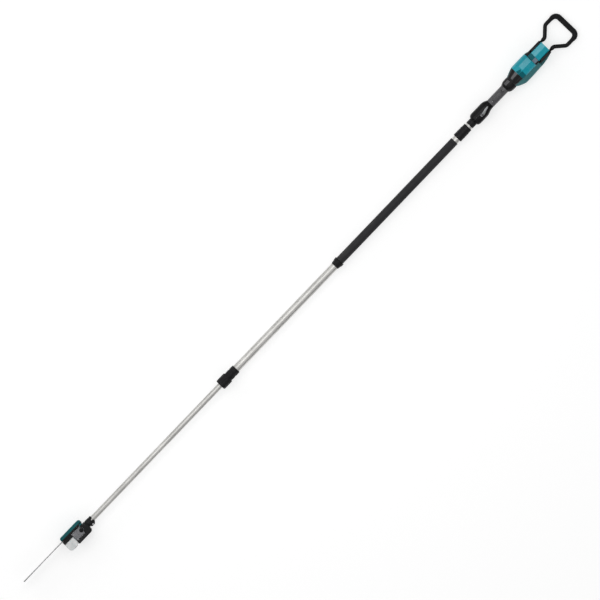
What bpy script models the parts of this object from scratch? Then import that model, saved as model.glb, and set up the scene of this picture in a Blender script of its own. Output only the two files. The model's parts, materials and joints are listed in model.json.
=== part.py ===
"""Telescoping battery pole saw: rear motor housing and grip, two-part pole and saw head.

Lengths are metres.  Every piece hangs under the empty "pole_axis".  In its frame +X runs from the rear end
of the guard loop towards the tip of the saw, +Y is to the user's left and +Z is up from the pole's centre
line.  The tool lies on the floor on its guard loop and its saw head.
"""

from math import copysign, cos, hypot, pi, radians, sin, tau

import bmesh
import bpy
from mathutils import Matrix, Vector

MM = 0.001
TOTAL_LENGTH = 3627 * MM
AXIS_HEIGHT = 62 * MM
GAP = 0.3 * MM
WALL = 3 * MM

# Distances of the main sections from the rear end.
BATTERY_REAR = 156 * MM
BATTERY_FRONT = 226 * MM
COVER_REAR = 251 * MM
COVER_FRONT = 338 * MM
COLLAR_REAR = 384 * MM
GRIP_REAR = 427 * MM
GRIP_FRONT = 525 * MM
HEAD_FRONT = 3371 * MM

# Guard loop.
LOOP_HALF_WIDTH = 80 * MM
LOOP_TUBE_R = 9.5 * MM
LOOP_LEG_R = 5 * MM
LOOP_LEG_Y = 29 * MM
LOOP_LEG_Z = -37 * MM
ARM_BEND = 84 * MM
NECK_BEND = 129 * MM
LOOP_THINS = 154 * MM
LOOP_TAPER = 14 * MM
BUMPER_R = 13.5 * MM
BUMPER_THIN_WALL = 1.3 * MM

TRIGGER_PIVOT = (513 * MM, 0, -27 * MM)

# Pole tubes and the drive inside them.
OUTER_TUBE_R = 18.5 * MM
TUBE_WALL = 1.5 * MM
INNER_TUBE_R = 13.5 * MM
OUTER_TUBE_REAR = 603 * MM
INNER_TUBE_REAR = 1790 * MM
DRIVE_TUBE_R = 8 * MM
DRIVE_TUBE_REAR = 372 * MM
DRIVE_TUBE_FRONT = 1740 * MM
DRIVE_ROD_FLAT = 4.5 * MM
DRIVE_ROD_REAR = 1310 * MM
BORE_R = OUTER_TUBE_R + GAP

# Saw head.
BAR_Y = -26.5 * MM
BAR_THICKNESS = 3.4 * MM
BAR_HALF_HEIGHT = 21 * MM
CHAIN_HEIGHT = 7 * MM
CHAIN_THICKNESS = 6.2 * MM
CHAIN_PLAY = 0.4 * MM
SPROCKET_X = 3275 * MM
SPROCKET_R = 15 * MM
SPROCKET_TEETH = 7
NOSE_SPROCKET_R = 11 * MM
NOSE_R = 15 * MM
NOSE_CENTRE = TOTAL_LENGTH - CHAIN_HEIGHT - CHAIN_PLAY - NOSE_R
BAR_TAPER = 80 * MM
BAR_TAIL = 3296 * MM
BAR_NUT_X = 3320 * MM
NOSE_TEETH = 9
HEAD_FLOOR = -AXIS_HEIGHT
PLUG_X = 3266 * MM

TEAL = (0.004, 0.30, 0.37)
TEAL_FLANK = (0.03, 0.20, 0.22)
TEAL_DARK = (0.008, 0.12, 0.13)
BLACK = (0.012, 0.012, 0.014)
DARK_GREY = (0.05, 0.05, 0.055)
RUBBER = (0.02, 0.02, 0.022)
SILVER = (0.66, 0.66, 0.64)
STEEL = (0.42, 0.42, 0.42)
COPPER = (0.55, 0.25, 0.12)
CAST_GREY = (0.16, 0.16, 0.165)
TANK_WHITE = (0.72, 0.73, 0.72)

# Turns that carry a flat outline, or a turned shape's axis, from the XY plane and Z to each direction.
FACING = {
    "X": Matrix(((0, 0, 1), (1, 0, 0), (0, 1, 0))).to_4x4(),
    "Y": Matrix(((1, 0, 0), (0, 0, -1), (0, 1, 0))).to_4x4(),
    "Z": Matrix.Identity(4),
}


# ---------------------------------------------------------------- scene and materials


def clear_scene():
    for old in list(bpy.data.objects):
        bpy.data.objects.remove(old, do_unlink=True)


def new_collection(name):
    collection = bpy.data.collections.new(name)
    bpy.context.scene.collection.children.link(collection)
    return collection


clear_scene()
PARTS = new_collection("telescoping_pole_saw")
CUTTERS = new_collection("cutters")

AXIS = bpy.data.objects.new("pole_axis", None)
AXIS.location = (-TOTAL_LENGTH / 2, 0, AXIS_HEIGHT)
PARTS.objects.link(AXIS)


def material(name, colour, roughness, metallic=0.0):
    made = bpy.data.materials.new(name)
    made.use_nodes = True
    shader = made.node_tree.nodes["Principled BSDF"]
    shader.inputs["Base Color"].default_value = (*colour, 1)
    shader.inputs["Roughness"].default_value = roughness
    shader.inputs["Metallic"].default_value = metallic
    return made


def black_plastic(name):
    return material(name, BLACK, 0.5)


def steel(name):
    return material(name, STEEL, 0.35, 1.0)


def place(obj, at=(0, 0, 0), facing="Z", collection=PARTS):
    """Puts an object under the pole's axis, with its local Z turned to the facing direction."""
    collection.objects.link(obj)
    obj.parent = AXIS
    obj.matrix_local = Matrix.Translation(at) @ FACING[facing]
    return obj


def finish(obj, mat):
    obj.data.materials.append(mat)
    return obj


def smooth(mesh, angle=35):
    mesh.shade_smooth()
    mesh.set_sharp_from_angle(angle=radians(angle))


def bevel(obj, width, segments=2, angle=30):
    modifier = obj.modifiers.new("rounded_edges", "BEVEL")
    modifier.width = width
    modifier.segments = segments
    modifier.limit_method = "ANGLE"
    modifier.angle_limit = radians(angle)
    modifier.harden_normals = False
    return obj


def boolean(obj, other, operation):
    modifier = obj.modifiers.new(other.name, "BOOLEAN")
    modifier.operation = operation
    modifier.solver = "EXACT"
    modifier.object = other
    return obj


def as_cutter(obj):
    obj.hide_render = True
    obj.display_type = "WIRE"
    return obj


def cut(obj, *cutters):
    for cutter in cutters:
        boolean(obj, as_cutter(cutter), "DIFFERENCE")
    return obj


def join(obj, *others):
    for other in others:
        boolean(obj, as_cutter(other), "UNION")
    return obj


# ---------------------------------------------------------------- shapes


def turned(name, outer, bore=(), at=(0, 0, 0), facing="X", steps=24, collection=PARTS):
    """A turned piece: outer and bore list (distance along the axis, radius), each from the low end up."""
    profile = [(radius, along) for along, radius in reversed(outer)]
    profile += [(radius, along) for along, radius in bore]
    mesh = bpy.data.meshes.new(name)
    count = len(profile)
    edges = [(i, i + 1) for i in range(count - 1)]
    if bore:
        edges.append((count - 1, 0))
    mesh.from_pydata([(radius, 0, along) for radius, along in profile], edges, [])
    obj = place(bpy.data.objects.new(name, mesh), at, "Z", collection)
    obj.matrix_local = Matrix.Translation(at) @ AXIS_TURN[facing]
    screw = obj.modifiers.new("turned", "SCREW")
    screw.steps = steps
    screw.render_steps = steps
    screw.use_merge_vertices = True
    screw.merge_threshold = 0.00001
    screw.use_normal_calculate = False
    return obj


AXIS_TURN = {
    "X": Matrix.Rotation(pi / 2, 4, "Y"),
    "Y": Matrix.Rotation(-pi / 2, 4, "X"),
    "Z": Matrix.Identity(4),
}


def rod(name, radius, low, high, at=(0, 0, 0), facing="X", steps=24, collection=PARTS):
    """A plain round rod; a visible one has small chamfers."""
    if collection is CUTTERS:
        ends = [(low, 0), (low, radius), (high, radius), (high, 0)]
    else:
        chamfer = min(0.6 * MM, radius / 4)
        ends = [(low, 0), (low, radius - chamfer), (low + chamfer, radius)]
        ends += [(high - chamfer, radius), (high, radius - chamfer), (high, 0)]
    return turned(name, ends, (), at, facing, steps, collection)


def box(name, low, high, round_edges=0.0, collection=PARTS):
    """A block between two corners in the pole's frame, with its origin at its centre."""
    low = Vector(low)
    high = Vector(high)
    mesh = bpy.data.meshes.new(name)
    form = bmesh.new()
    bmesh.ops.create_cube(form, size=1, matrix=Matrix.Diagonal((*(high - low), 1)))
    form.to_mesh(mesh)
    form.free()
    obj = place(bpy.data.objects.new(name, mesh), (low + high) / 2, "Z", collection)
    if round_edges:
        bevel(obj, round_edges)
    return obj


def flat(name, outlines, thickness, at=(0, 0, 0), facing="Z", round_edges=0.0, collection=PARTS):
    """A plate cut to one or more closed outlines; outlines inside the first are holes."""
    curve = bpy.data.curves.new(name, "CURVE")
    curve.dimensions = "2D"
    curve.fill_mode = "BOTH"
    curve.extrude = thickness / 2
    for outline in outlines:
        spline = curve.splines.new("POLY")
        spline.points.add(len(outline) - 1)
        for point, (u, v) in zip(spline.points, outline):
            point.co = (u, v, 0, 1)
        spline.use_cyclic_u = True
    obj = as_mesh(bpy.data.objects.new(name, curve), name)
    place(obj, at, facing, collection)
    if round_edges:
        bevel(obj, round_edges)
    return obj


def as_mesh(curve_object, name):
    """The mesh of a curve object, with its loose caps welded on."""
    bpy.context.scene.collection.objects.link(curve_object)
    graph = bpy.context.evaluated_depsgraph_get()
    mesh = bpy.data.meshes.new_from_object(curve_object.evaluated_get(graph))
    curve = curve_object.data
    bpy.data.objects.remove(curve_object)
    bpy.data.curves.remove(curve)
    form = bmesh.new()
    form.from_mesh(mesh)
    bmesh.ops.remove_doubles(form, verts=form.verts, dist=0.00001)
    bmesh.ops.recalc_face_normals(form, faces=form.faces)
    form.to_mesh(mesh)
    form.free()
    mesh.name = name
    return bpy.data.objects.new(name, mesh)


def sweep(name, points, radii, closed=False, sides=2, at=(0, 0, 0), collection=PARTS):
    """A round bar along points, with its own radius at each."""
    curve = bpy.data.curves.new(name, "CURVE")
    curve.dimensions = "3D"
    curve.bevel_depth = max(radii)
    curve.bevel_resolution = sides
    curve.use_fill_caps = not closed
    spline = curve.splines.new("POLY")
    spline.points.add(len(points) - 1)
    for point, place_at, radius in zip(spline.points, points, radii):
        point.co = (*place_at, 1)
        point.radius = radius / max(radii)
    spline.use_cyclic_u = closed
    obj = as_mesh(bpy.data.objects.new(name, curve), name)
    place(obj, at, "Z", collection)
    return obj


def circle(radius, centre=(0, 0), steps=24, start=0.0, turn=tau):
    """Points on a circle, or on an arc of it when turn is less than a whole turn."""
    count = steps if turn == tau else steps + 1
    angles = [start + turn * i / steps for i in range(count)]
    return [(centre[0] + radius * cos(a), centre[1] + radius * sin(a)) for a in angles]


def hexagon(flat_distance):
    return circle(flat_distance / cos(pi / 6), steps=6, start=pi / 6)


def toothed(teeth, root, tip, centre=(0, 0)):
    """A toothed wheel's outline: four points a tooth."""
    points = []
    for tooth in range(teeth):
        for part, radius in ((-0.32, root), (-0.14, tip), (0.14, tip), (0.32, root)):
            angle = tau * (tooth + part) / teeth
            points.append((centre[0] + radius * cos(angle), centre[1] + radius * sin(angle)))
    return points


def filleted(corners, steps=5):
    """A path through corners (x, y, fillet radius), with an arc at each inner corner."""
    points = [corners[0][:2]]
    for before, here, after in zip(corners, corners[1:], corners[2:]):
        corner = Vector(here[:2])
        to_before = (Vector(before[:2]) - corner).normalized()
        to_after = (Vector(after[:2]) - corner).normalized()
        half = to_before.angle(to_after) / 2
        centre = corner + (to_before + to_after).normalized() * here[2] / sin(half)
        start = corner + to_before * here[2] * cos(half) / sin(half) - centre
        sweep_angle = start.angle_signed(corner + to_after * here[2] * cos(half) / sin(half) - centre)
        for i in range(steps + 1):
            turned_start = Matrix.Rotation(-sweep_angle * i / steps, 2) @ start
            points.append(tuple(centre + turned_start))
    points.append(corners[-1][:2])
    return points


def inset(path, depth, square_ends=False):
    """A section path moved inwards by depth; the path runs anticlockwise round the pole's axis.

    With square ends, the first and last points stay in their parting plane: the middle plane or a level one.
    """
    moved = []
    ends = (0, len(path) - 1) if square_ends else ()
    for i, here in enumerate(path):
        if i in ends and abs(here[0]) < 1 * MM:
            moved.append((here[0], here[1] - copysign(depth, here[1])))
            continue
        if i in ends:
            moved.append((here[0] - copysign(depth, here[0]), here[1]))
            continue
        before = path[i - 1] if i else here
        after = path[i + 1] if i + 1 < len(path) else here
        normal = Vector((0, 0))
        for a, b in ((before, here), (here, after)):
            step = Vector((b[0] - a[0], b[1] - a[1]))
            if step.length > 0:
                normal += Vector((-step.y, step.x)).normalized()
        spread = max(normal.length / 2, 0.5) if 0 < i < len(path) - 1 else 1
        shift = normal.normalized() * depth / spread
        moved.append((here[0] + shift.x, here[1] + shift.y))
    return moved


def shell(name, sections, wall=WALL, closed=False, square_ends=True):
    """A lofted shell along the pole: sections list (distance, path of (y, z)), anticlockwise seen from +X."""
    mesh = bpy.data.meshes.new(name)
    form = bmesh.new()
    outside = []
    inside = []
    for along, path in sections:
        inner = inset(path, wall, square_ends)
        if closed:
            inner = inset(path[-1:] + path + path[:1], wall)[1:-1]
        outside.append([form.verts.new((along, y, z)) for y, z in path])
        inside.append([form.verts.new((along, y, z)) for y, z in inner])
    count = len(sections[0][1])
    spans = range(count) if closed else range(count - 1)
    last = len(sections) - 1
    for i in spans:
        j = (i + 1) % count
        for k in range(last):
            form.faces.new((outside[k][i], outside[k][j], outside[k + 1][j], outside[k + 1][i]))
            form.faces.new((inside[k][i], inside[k + 1][i], inside[k + 1][j], inside[k][j]))
        form.faces.new((outside[0][i], inside[0][i], inside[0][j], outside[0][j]))
        form.faces.new((outside[last][i], outside[last][j], inside[last][j], inside[last][i]))
    if not closed:
        for k in range(last):
            form.faces.new((outside[k][0], outside[k + 1][0], inside[k + 1][0], inside[k][0]))
            form.faces.new((outside[k][-1], inside[k][-1], inside[k + 1][-1], outside[k + 1][-1]))
    bmesh.ops.recalc_face_normals(form, faces=form.faces)
    form.to_mesh(mesh)
    form.free()
    smooth(mesh, 25)
    return place(bpy.data.objects.new(name, mesh))


def oval(right, left, top, bottom, start=-90.0, end=270.0, steps=24, power=2.4):
    """A superellipse path round the axis from one angle to another, with its own reach each way."""
    points = []
    closed = end - start >= 360
    for i in range(steps if closed else steps + 1):
        angle = radians(start + (end - start) * i / steps)
        y = abs(cos(angle)) ** (2 / power) * (left if cos(angle) > 0 else -right)
        z = abs(sin(angle)) ** (2 / power) * (top if sin(angle) > 0 else -bottom)
        points.append((y, z))
    return points


# ---------------------------------------------------------------- guard loop and battery section


def loop_path():
    """The loop's centre line, sloping down from its legs to the crossbar that rests on the floor."""
    arm_y = LOOP_HALF_WIDTH - LOOP_TUBE_R - BUMPER_THIN_WALL
    crossbar_x = BUMPER_R
    left = [(226 * MM, LOOP_LEG_Y, 0), (NECK_BEND, LOOP_LEG_Y, 18 * MM), (ARM_BEND, arm_y, 20 * MM)]
    left.append((crossbar_x, arm_y, 25 * MM))
    corners = left + [(x, -y, radius) for x, y, radius in reversed(left)]
    crossbar_z = BUMPER_R - AXIS_HEIGHT
    outline = filleted(corners)
    taper = [(LOOP_THINS, LOOP_LEG_Y), (LOOP_THINS - LOOP_TAPER, LOOP_LEG_Y)]
    outline[1:1] = taper
    outline[-1:-1] = [(x, -y) for x, y in reversed(taper)]
    points = []
    for x, y in outline:
        slope = min(max((NECK_BEND - x) / (NECK_BEND - crossbar_x), 0), 1)
        points.append((x, y, LOOP_LEG_Z + (crossbar_z - LOOP_LEG_Z) * slope))
    return points


def loop_radius(x):
    blend = min(max((LOOP_THINS - x) / LOOP_TAPER, 0), 1)
    return LOOP_LEG_R + (LOOP_TUBE_R - LOOP_LEG_R) * blend


def bumper_radius(x):
    thin = LOOP_TUBE_R + BUMPER_THIN_WALL
    blend = min(max((48 * MM - x) / (35 * MM), 0), 1)
    return thin + (BUMPER_R - thin) * blend


def guard_loop():
    path = loop_path()
    tube = sweep("guard_loop", path, [loop_radius(x) for x, y, z in path], sides=3)
    finish(tube, black_plastic("loop_tube"))
    smooth(tube.data)
    jacket_path = [point for point in path if point[0] < 46 * MM]
    jacket = sweep("loop_bumper", jacket_path, [bumper_radius(x) for x, y, z in jacket_path], sides=3)
    finish(jacket, material("bumper_rubber", RUBBER, 0.75))
    smooth(jacket.data)
    first = Vector(jacket_path[0]) + Vector((5 * MM, 0, 0))
    final = Vector(jacket_path[-1]) + Vector((5 * MM, 0, 0))
    bore_path = [tuple(first)] + jacket_path + [tuple(final)]
    bore_radii = [LOOP_TUBE_R + 2 * GAP] * len(bore_path)
    bore = sweep("bumper_bore", bore_path, bore_radii, sides=3, collection=CUTTERS)
    cut(jacket, bore)


def cap_section(half_width, foot, wall=0.0):
    """The outline of the battery section's cap: level on its right half and sloping on its left."""
    w = half_width - wall
    left = [(w, foot), (w, 31 * MM - wall / 2), (w - 4 * MM, 37 * MM - wall)]
    right = [(3 * MM - w, 43.5 * MM - wall), (-w, 39 * MM - wall / 2), (-w, foot)]
    return left + [(0, 44 * MM - wall)] + right


def battery_section():
    length = BATTERY_FRONT - BATTERY_REAR
    middle = (BATTERY_FRONT + BATTERY_REAR) / 2
    cap = flat("rear_cap", [cap_section(27 * MM, -8 * MM)], length, (middle, 0, 0), "X", 1 * MM)
    finish(cap, material("cap_teal", TEAL, 0.35))
    hollow = flat(
        "cap_hollow",
        [cap_section(27 * MM, -12 * MM, WALL)],
        length + 2 * MM,
        (middle + WALL + 1 * MM, 0, 0),
        "X",
        collection=CUTTERS,
    )
    cut(cap, hollow)
    frame = box("battery_frame", (160 * MM, -22 * MM, -50 * MM), (244 * MM, 22 * MM, 24 * MM), 1 * MM)
    finish(frame, black_plastic("frame_plastic"))
    bay = box("frame_bay", (164 * MM, -19 * MM, -47 * MM), (250 * MM, 19 * MM, 21 * MM), collection=CUTTERS)
    cut(frame, bay)
    board = box("controller", (170 * MM, -17 * MM, -30 * MM), (226 * MM, 17 * MM, -8 * MM), 2 * MM)
    finish(board, material("controller_case", SILVER, 0.45, 0.8))
    for side, name in ((1, "left"), (-1, "right")):
        battery_rail(side, name)


def battery_rail(side, name):
    """The T-shaped rail that a battery's shoe slides down over, and the contact block on its face."""
    middle = 192 * MM
    stem = 26 * MM
    head = 34 * MM
    root = 27 * MM + GAP
    step = 34 * MM
    face = 40 * MM
    hook = step + 0.6 * MM
    outline = [(-stem, root), (stem, root), (stem, step), (head, hook), (head, face)]
    outline += [(-head, face), (-head, hook), (-stem, step)]
    outline = [(u, side * v) for u, v in outline]
    rail = flat(f"battery_rail_{name}", [outline], 65 * MM, (middle, 0, 5.5 * MM))
    finish(rail, black_plastic("rail_plastic"))
    pocket_y = sorted((side * 36 * MM, side * 42 * MM))
    pocket = box(
        f"contact_pocket_{name}",
        (middle - 20 * MM, pocket_y[0], -12 * MM),
        (middle + 20 * MM, pocket_y[1], 26 * MM),
        collection=CUTTERS,
    )
    cut(rail, pocket)
    block_y = sorted((side * (36 * MM + GAP), side * 39.5 * MM))
    block = box(
        f"terminal_block_{name}",
        (middle - 18 * MM, block_y[0], -10 * MM),
        (middle + 18 * MM, block_y[1], 24 * MM),
        0.5 * MM,
    )
    finish(block, material("terminal_plastic", DARK_GREY, 0.5))


# ---------------------------------------------------------------- motor housing


def half_housing(left, name, mat):
    """One clamshell half: sections list (distance, width, lip, top edge, depth below the axis)."""
    if left:
        sizes = (
            (157, 39, 39, -30, 56),
            (195, 48, 48, -30, 56),
            (231, 52, 52, -30, 56),
            (232, 52, 30.5, 15, 56),
            (300, 54, 30.5, 15, 56),
            (332, 54, 30.5, 15, 54),
            (358, 46, 29, 13, 48),
            (383.7, 32, 26, 8, 39),
        )
    else:
        sizes = (
            (157, 39, 39, -30, 56),
            (195, 40, 40, -30, 56),
            (231, 41, 41, -30, 56),
            (232, 42, 40, 15, 56),
            (255, 46, 46, 15, 56),
            (332, 46, 46, 15, 54),
            (358, 39, 38.5, 13, 48),
            (383.7, 29, 28, 8, 39),
        )
    sections = []
    for along, width, lip, top, depth in sizes:
        knee = min(-0.1 * depth, top - 4)
        corner, side = (0.93, 0.76) if top < 0 else (0.84, 0.55)
        path = [(0.15, -depth), (0.55 * width, -depth), (0.86 * width, -corner * depth)]
        path += [(width, -side * depth), (width, knee), (lip, top)]
        path = [(y * MM, z * MM) for y, z in path]
        if not left:
            path = [(-y, z) for y, z in reversed(path)]
        sections.append((along * MM, path))
    obj = shell(name, sections, 2.6 * MM)
    side = 1 if left else -1
    for vent in range(6):
        middle = (274 + 9 * vent) * MM
        reach = sorted((side * 36 * MM, side * 60 * MM))
        low_corner = (middle - 2 * MM, reach[0], -26 * MM)
        high_corner = (middle + 2 * MM, reach[1], -8 * MM)
        slot = box(f"{name}_vent_{vent}", low_corner, high_corner, collection=CUTTERS)
        cut(obj, slot)
    return finish(obj, mat)


def cover_section(along, points):
    """A section of the top cover: points (y, z) from its left side over the ridge to its right."""
    foot = 15.4
    path = [(points[0][0] + 1, foot), *points, (points[-1][0] - 1, foot)]
    return along, [(y * MM, z * MM) for y, z in path]


def top_cover():
    """The cover over the motor: a level right facet, a sloping left one, and a notch at the rear."""
    notch = ((29, 24), (21, 30), (1, 36), (-26, 36), (-31, 31), (-38.5, 24))
    step = ((29.3, 29), (21.3, 39), (1, 48), (-26, 48), (-37.6, 43), (-44.6, 30))
    full = ((29.5, 31), (21.5, 41), (1, 50), (-26, 50), (-38, 44.5), (-45.7, 32))
    edge = ((29.5, 24), (20, 32), (1, 49), (-25, 49.5), (-37.7, 44), (-45.6, 31))
    nose = ((28.5, 23), (22, 31), (0, 39.5), (-20, 40), (-35.8, 36.5), (-43.8, 26))
    sections = [
        cover_section(BATTERY_FRONT + GAP, notch),
        cover_section(COVER_REAR - 2 * MM, notch),
        cover_section(COVER_REAR, step),
        cover_section(COVER_REAR + 7 * MM, full),
        cover_section(284 * MM, full),
        cover_section(312 * MM, edge),
        cover_section(COVER_FRONT - GAP, nose),
    ]
    obj = shell("top_cover", sections, 2.6 * MM)
    bevel(obj, 0.8 * MM, 1, 20)
    finish(obj, material("cover_teal", TEAL, 0.35))


def ribbed_path(right, left, foot, top, rib):
    """The front housing's outline, with ribs along the pole."""
    path = oval(right, left, top, foot + 1, 20, 160, 18, 2.8)
    path = [(left, foot)] + path + [(-right, foot)]
    ribbed = []
    for i, (y, z) in enumerate(path):
        raised = 1 + (rib / hypot(y, z) if i % 4 == 2 else 0)
        ribbed.append((y * raised * MM, z * raised * MM))
    return ribbed


def front_housing():
    sections = [
        (COVER_FRONT, ribbed_path(43, 29, 15.4, 38, 1.5)),
        (358 * MM, ribbed_path(36, 28, 13.4, 36, 1.5)),
        (COLLAR_REAR - GAP, ribbed_path(27, 25, 8.4, 32, 1.0)),
    ]
    finish(shell("front_housing", sections, 2.2 * MM), black_plastic("front_plastic"))


def motor():
    """Brushless motor in line with the pole, its controller side bearing, fan and coupling."""
    shaft = 4 * MM
    bearing = turned("rear_bearing", [(250 * MM, 11 * MM), (259 * MM, 11 * MM)],
                     [(250 * MM, shaft + GAP), (259 * MM, shaft + GAP)])
    finish(bearing, steel("bearing_steel"))
    stator = turned("stator", [(268 * MM, 28 * MM), (320 * MM, 28 * MM)],
                    [(268 * MM, 15.7 * MM), (320 * MM, 15.7 * MM)])
    finish(stator, material("stator_copper", COPPER, 0.5, 0.7))
    core = 15 * MM
    outer = [(246 * MM, 0), (246 * MM, shaft), (268 * MM, shaft), (268 * MM, core), (320 * MM, core)]
    outer += [(320 * MM, shaft), (368 * MM, shaft), (368 * MM, 0)]
    finish(turned("rotor", outer), steel("rotor_steel"))
    blades = toothed(12, 16 * MM, 25 * MM)
    fan = flat("fan", [blades, circle(shaft + GAP, steps=12)], 10 * MM, (331 * MM, 0, 0), "X")
    finish(fan, black_plastic("fan_plastic"))
    hub = 12 * MM
    coupling = turned("coupling", [(342 * MM, hub), (386 * MM, hub)],
                      [(342 * MM, shaft + GAP), (370 * MM, shaft + GAP), (370 * MM, DRIVE_TUBE_R + GAP),
                       (386 * MM, DRIVE_TUBE_R + GAP)])
    finish(coupling, steel("coupling_steel"))


# ---------------------------------------------------------------- grip, trigger and bulb


def ring_shell(name, sizes, mat, start=-90.0, end=270.0, steps=24, wall=WALL):
    """A shell from sizes (distance, right, left, top, bottom), whole or from one angle to another."""
    sections = []
    for along, right, left, top, bottom in sizes:
        path = oval(right * MM, left * MM, top * MM, bottom * MM, start, end, steps)
        sections.append((along * MM, path))
    return finish(shell(name, sections, wall, closed=end - start >= 360), mat)


def halves(name, sizes, colour, roughness):
    """The left and right clamshell halves of a lofted housing, parted at the middle plane."""
    made = []
    for side, start in (("left", -90), ("right", 90)):
        half = ring_shell(f"{name}_{side}", sizes, material(f"{name}_{side}_plastic", colour, roughness),
                          start, start + 180, 12)
        shift = GAP / 2 if side == "left" else -GAP / 2
        half.location.y += shift
        made.append(half)
    return made


def grip():
    collar_sizes = ((COLLAR_REAR / MM, 29, 32.5, 34, 42), (393, 30, 33, 35, 43), (413, 28.5, 31, 32, 41),
                    (GRIP_REAR / MM - 0.3, 22.5, 23.5, 24, 36))
    ring_shell("grip_collar", collar_sizes, black_plastic("collar_plastic"))
    grip_sizes = ((GRIP_REAR / MM, 21.5, 21.5, 21, 34), (446, 21, 21, 20.5, 33), (500, 21, 21, 20.5, 33),
                  (GRIP_FRONT / MM, 21, 21, 20.5, 34))
    grips = halves("grip", grip_sizes, DARK_GREY, 0.55)
    low_corner = (461 * MM, -7 * MM, -50 * MM)
    trigger_slot = box("trigger_slot", low_corner, (522 * MM, 7 * MM, -24 * MM), collection=CUTTERS)
    low_corner = (440 * MM, -6 * MM, 14 * MM)
    lever_slot = box("lever_slot", low_corner, (513 * MM, 6 * MM, 30 * MM), collection=CUTTERS)
    pin_way = rod("pin_way", 2.3 * MM, -12.5 * MM, 12.5 * MM, TRIGGER_PIVOT, "Y", 12, CUTTERS)
    for half in grips:
        cut(half, trigger_slot, lever_slot, pin_way)
    switch = box("switch_body", (468 * MM, -9 * MM, -25 * MM), (503 * MM, 9 * MM, -10 * MM), 0.8 * MM)
    finish(switch, black_plastic("switch_plastic"))


def trigger():
    """The finger trigger: it turns up about the pin at its front."""
    pivot = TRIGGER_PIVOT
    pin_r = 2 * MM
    finish(rod("trigger_pin", pin_r, -12 * MM, 12 * MM, pivot, "Y", 12), steel("pin_steel"))
    hub = circle(5 * MM, steps=8, start=radians(60), turn=-radians(130))
    finger = [(-5, -15), (-14, -18.5), (-26, -17.5), (-38, -13), (-44, -9.5), (-42, -8), (-12, -7)]
    outline = hub + [(u * MM, v * MM) for u, v in finger]
    lever = flat("trigger", [outline, circle(pin_r + GAP, steps=12)], 11 * MM, pivot, "Y", 0.8 * MM)
    finish(lever, material("trigger_plastic", BLACK, 0.45))


def lock_lever():
    """The lock-off lever in the top of the grip: it dips about its rear end."""
    pivot = (446 * MM, 0, 13 * MM)
    outline = [(-4, -3), (3, -3), (10, 3), (62, 6), (63, 9), (56, 12), (10, 11), (-2, 6)]
    lever = flat("lock_lever", [[(u * MM, v * MM) for u, v in outline]], 10 * MM, pivot, "Y", 1 * MM)
    finish(lever, material("lever_plastic", BLACK, 0.5))


BULB_SIZES = (
    (525.3, 22, 21.5, 21, 34),
    (534, 26.5, 22.5, 24, 36),
    (546, 31, 25.5, 28, 38),
    (562, 32, 30, 30, 38),
    (618, 32, 31, 30, 38),
    (631, 29, 28.5, 27, 33),
    (637, 23, 23, 22.5, 24),
)


# The silver panel's angles round the pole at its stations: (distance, low angle, high angle).
PANEL_ANGLES = ((542, 84, 93), (546, 82.4, 92.6), (562, 76, 91), (580, 65, 87), (598, 65, 87))


def bulb_section(along):
    """The bulb's reach each way at a distance along the pole, between its stations."""
    for low, high in zip(BULB_SIZES, BULB_SIZES[1:]):
        if low[0] <= along <= high[0]:
            share = (along - low[0]) / (high[0] - low[0])
            return [a + (b - a) * share for a, b in zip(low[1:], high[1:])]
    raise ValueError(along)


def bulb():
    housings = halves("fore_housing", BULB_SIZES, BLACK, 0.4)
    button_at = Vector((588 * MM, 9.5 * MM, 28.8 * MM))
    lean = Matrix.Rotation(radians(-11), 4, "X")
    hole = rod("button_hole", 4.4 * MM, -8 * MM, 8 * MM, button_at, "Z", 16, CUTTERS)
    hole.matrix_local = Matrix.Translation(button_at) @ lean
    cut(housings[0], hole)
    sections = []
    for along, low_angle, high_angle in PANEL_ANGLES:
        right, left, top, bottom = (reach + 2.0 for reach in bulb_section(along))
        path = oval(right * MM, left * MM, top * MM, bottom * MM, low_angle, high_angle, 6)
        sections.append((along * MM, path))
    panel = shell("control_panel", sections, 1.4 * MM, square_ends=False)
    cut(panel, hole)
    finish(panel, material("panel_silver", (0.35, 0.35, 0.36), 0.3, 0.6))
    button = rod("power_button", 3.8 * MM, -3 * MM, 4 * MM, button_at, "Z", 16)
    button.matrix_local = Matrix.Translation(button_at) @ lean
    finish(button, material("button_plastic", DARK_GREY, 0.4))


# ---------------------------------------------------------------- pole


def tube(name, radius, low, high, wall, mat, steps=24):
    bore = [(low, radius - wall), (high, radius - wall)]
    return finish(turned(name, [(low, radius), (high, radius)], bore, steps=steps), mat)


def collar(name, outer, bore_r, mat, steps=24):
    """A turned collar with a plain bore from its first station to its last."""
    low = outer[0][0] * MM
    high = outer[-1][0] * MM
    profile = [(along * MM, radius * MM) for along, radius in outer]
    return finish(turned(name, profile, [(low, bore_r), (high, bore_r)], steps=steps), mat)


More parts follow.
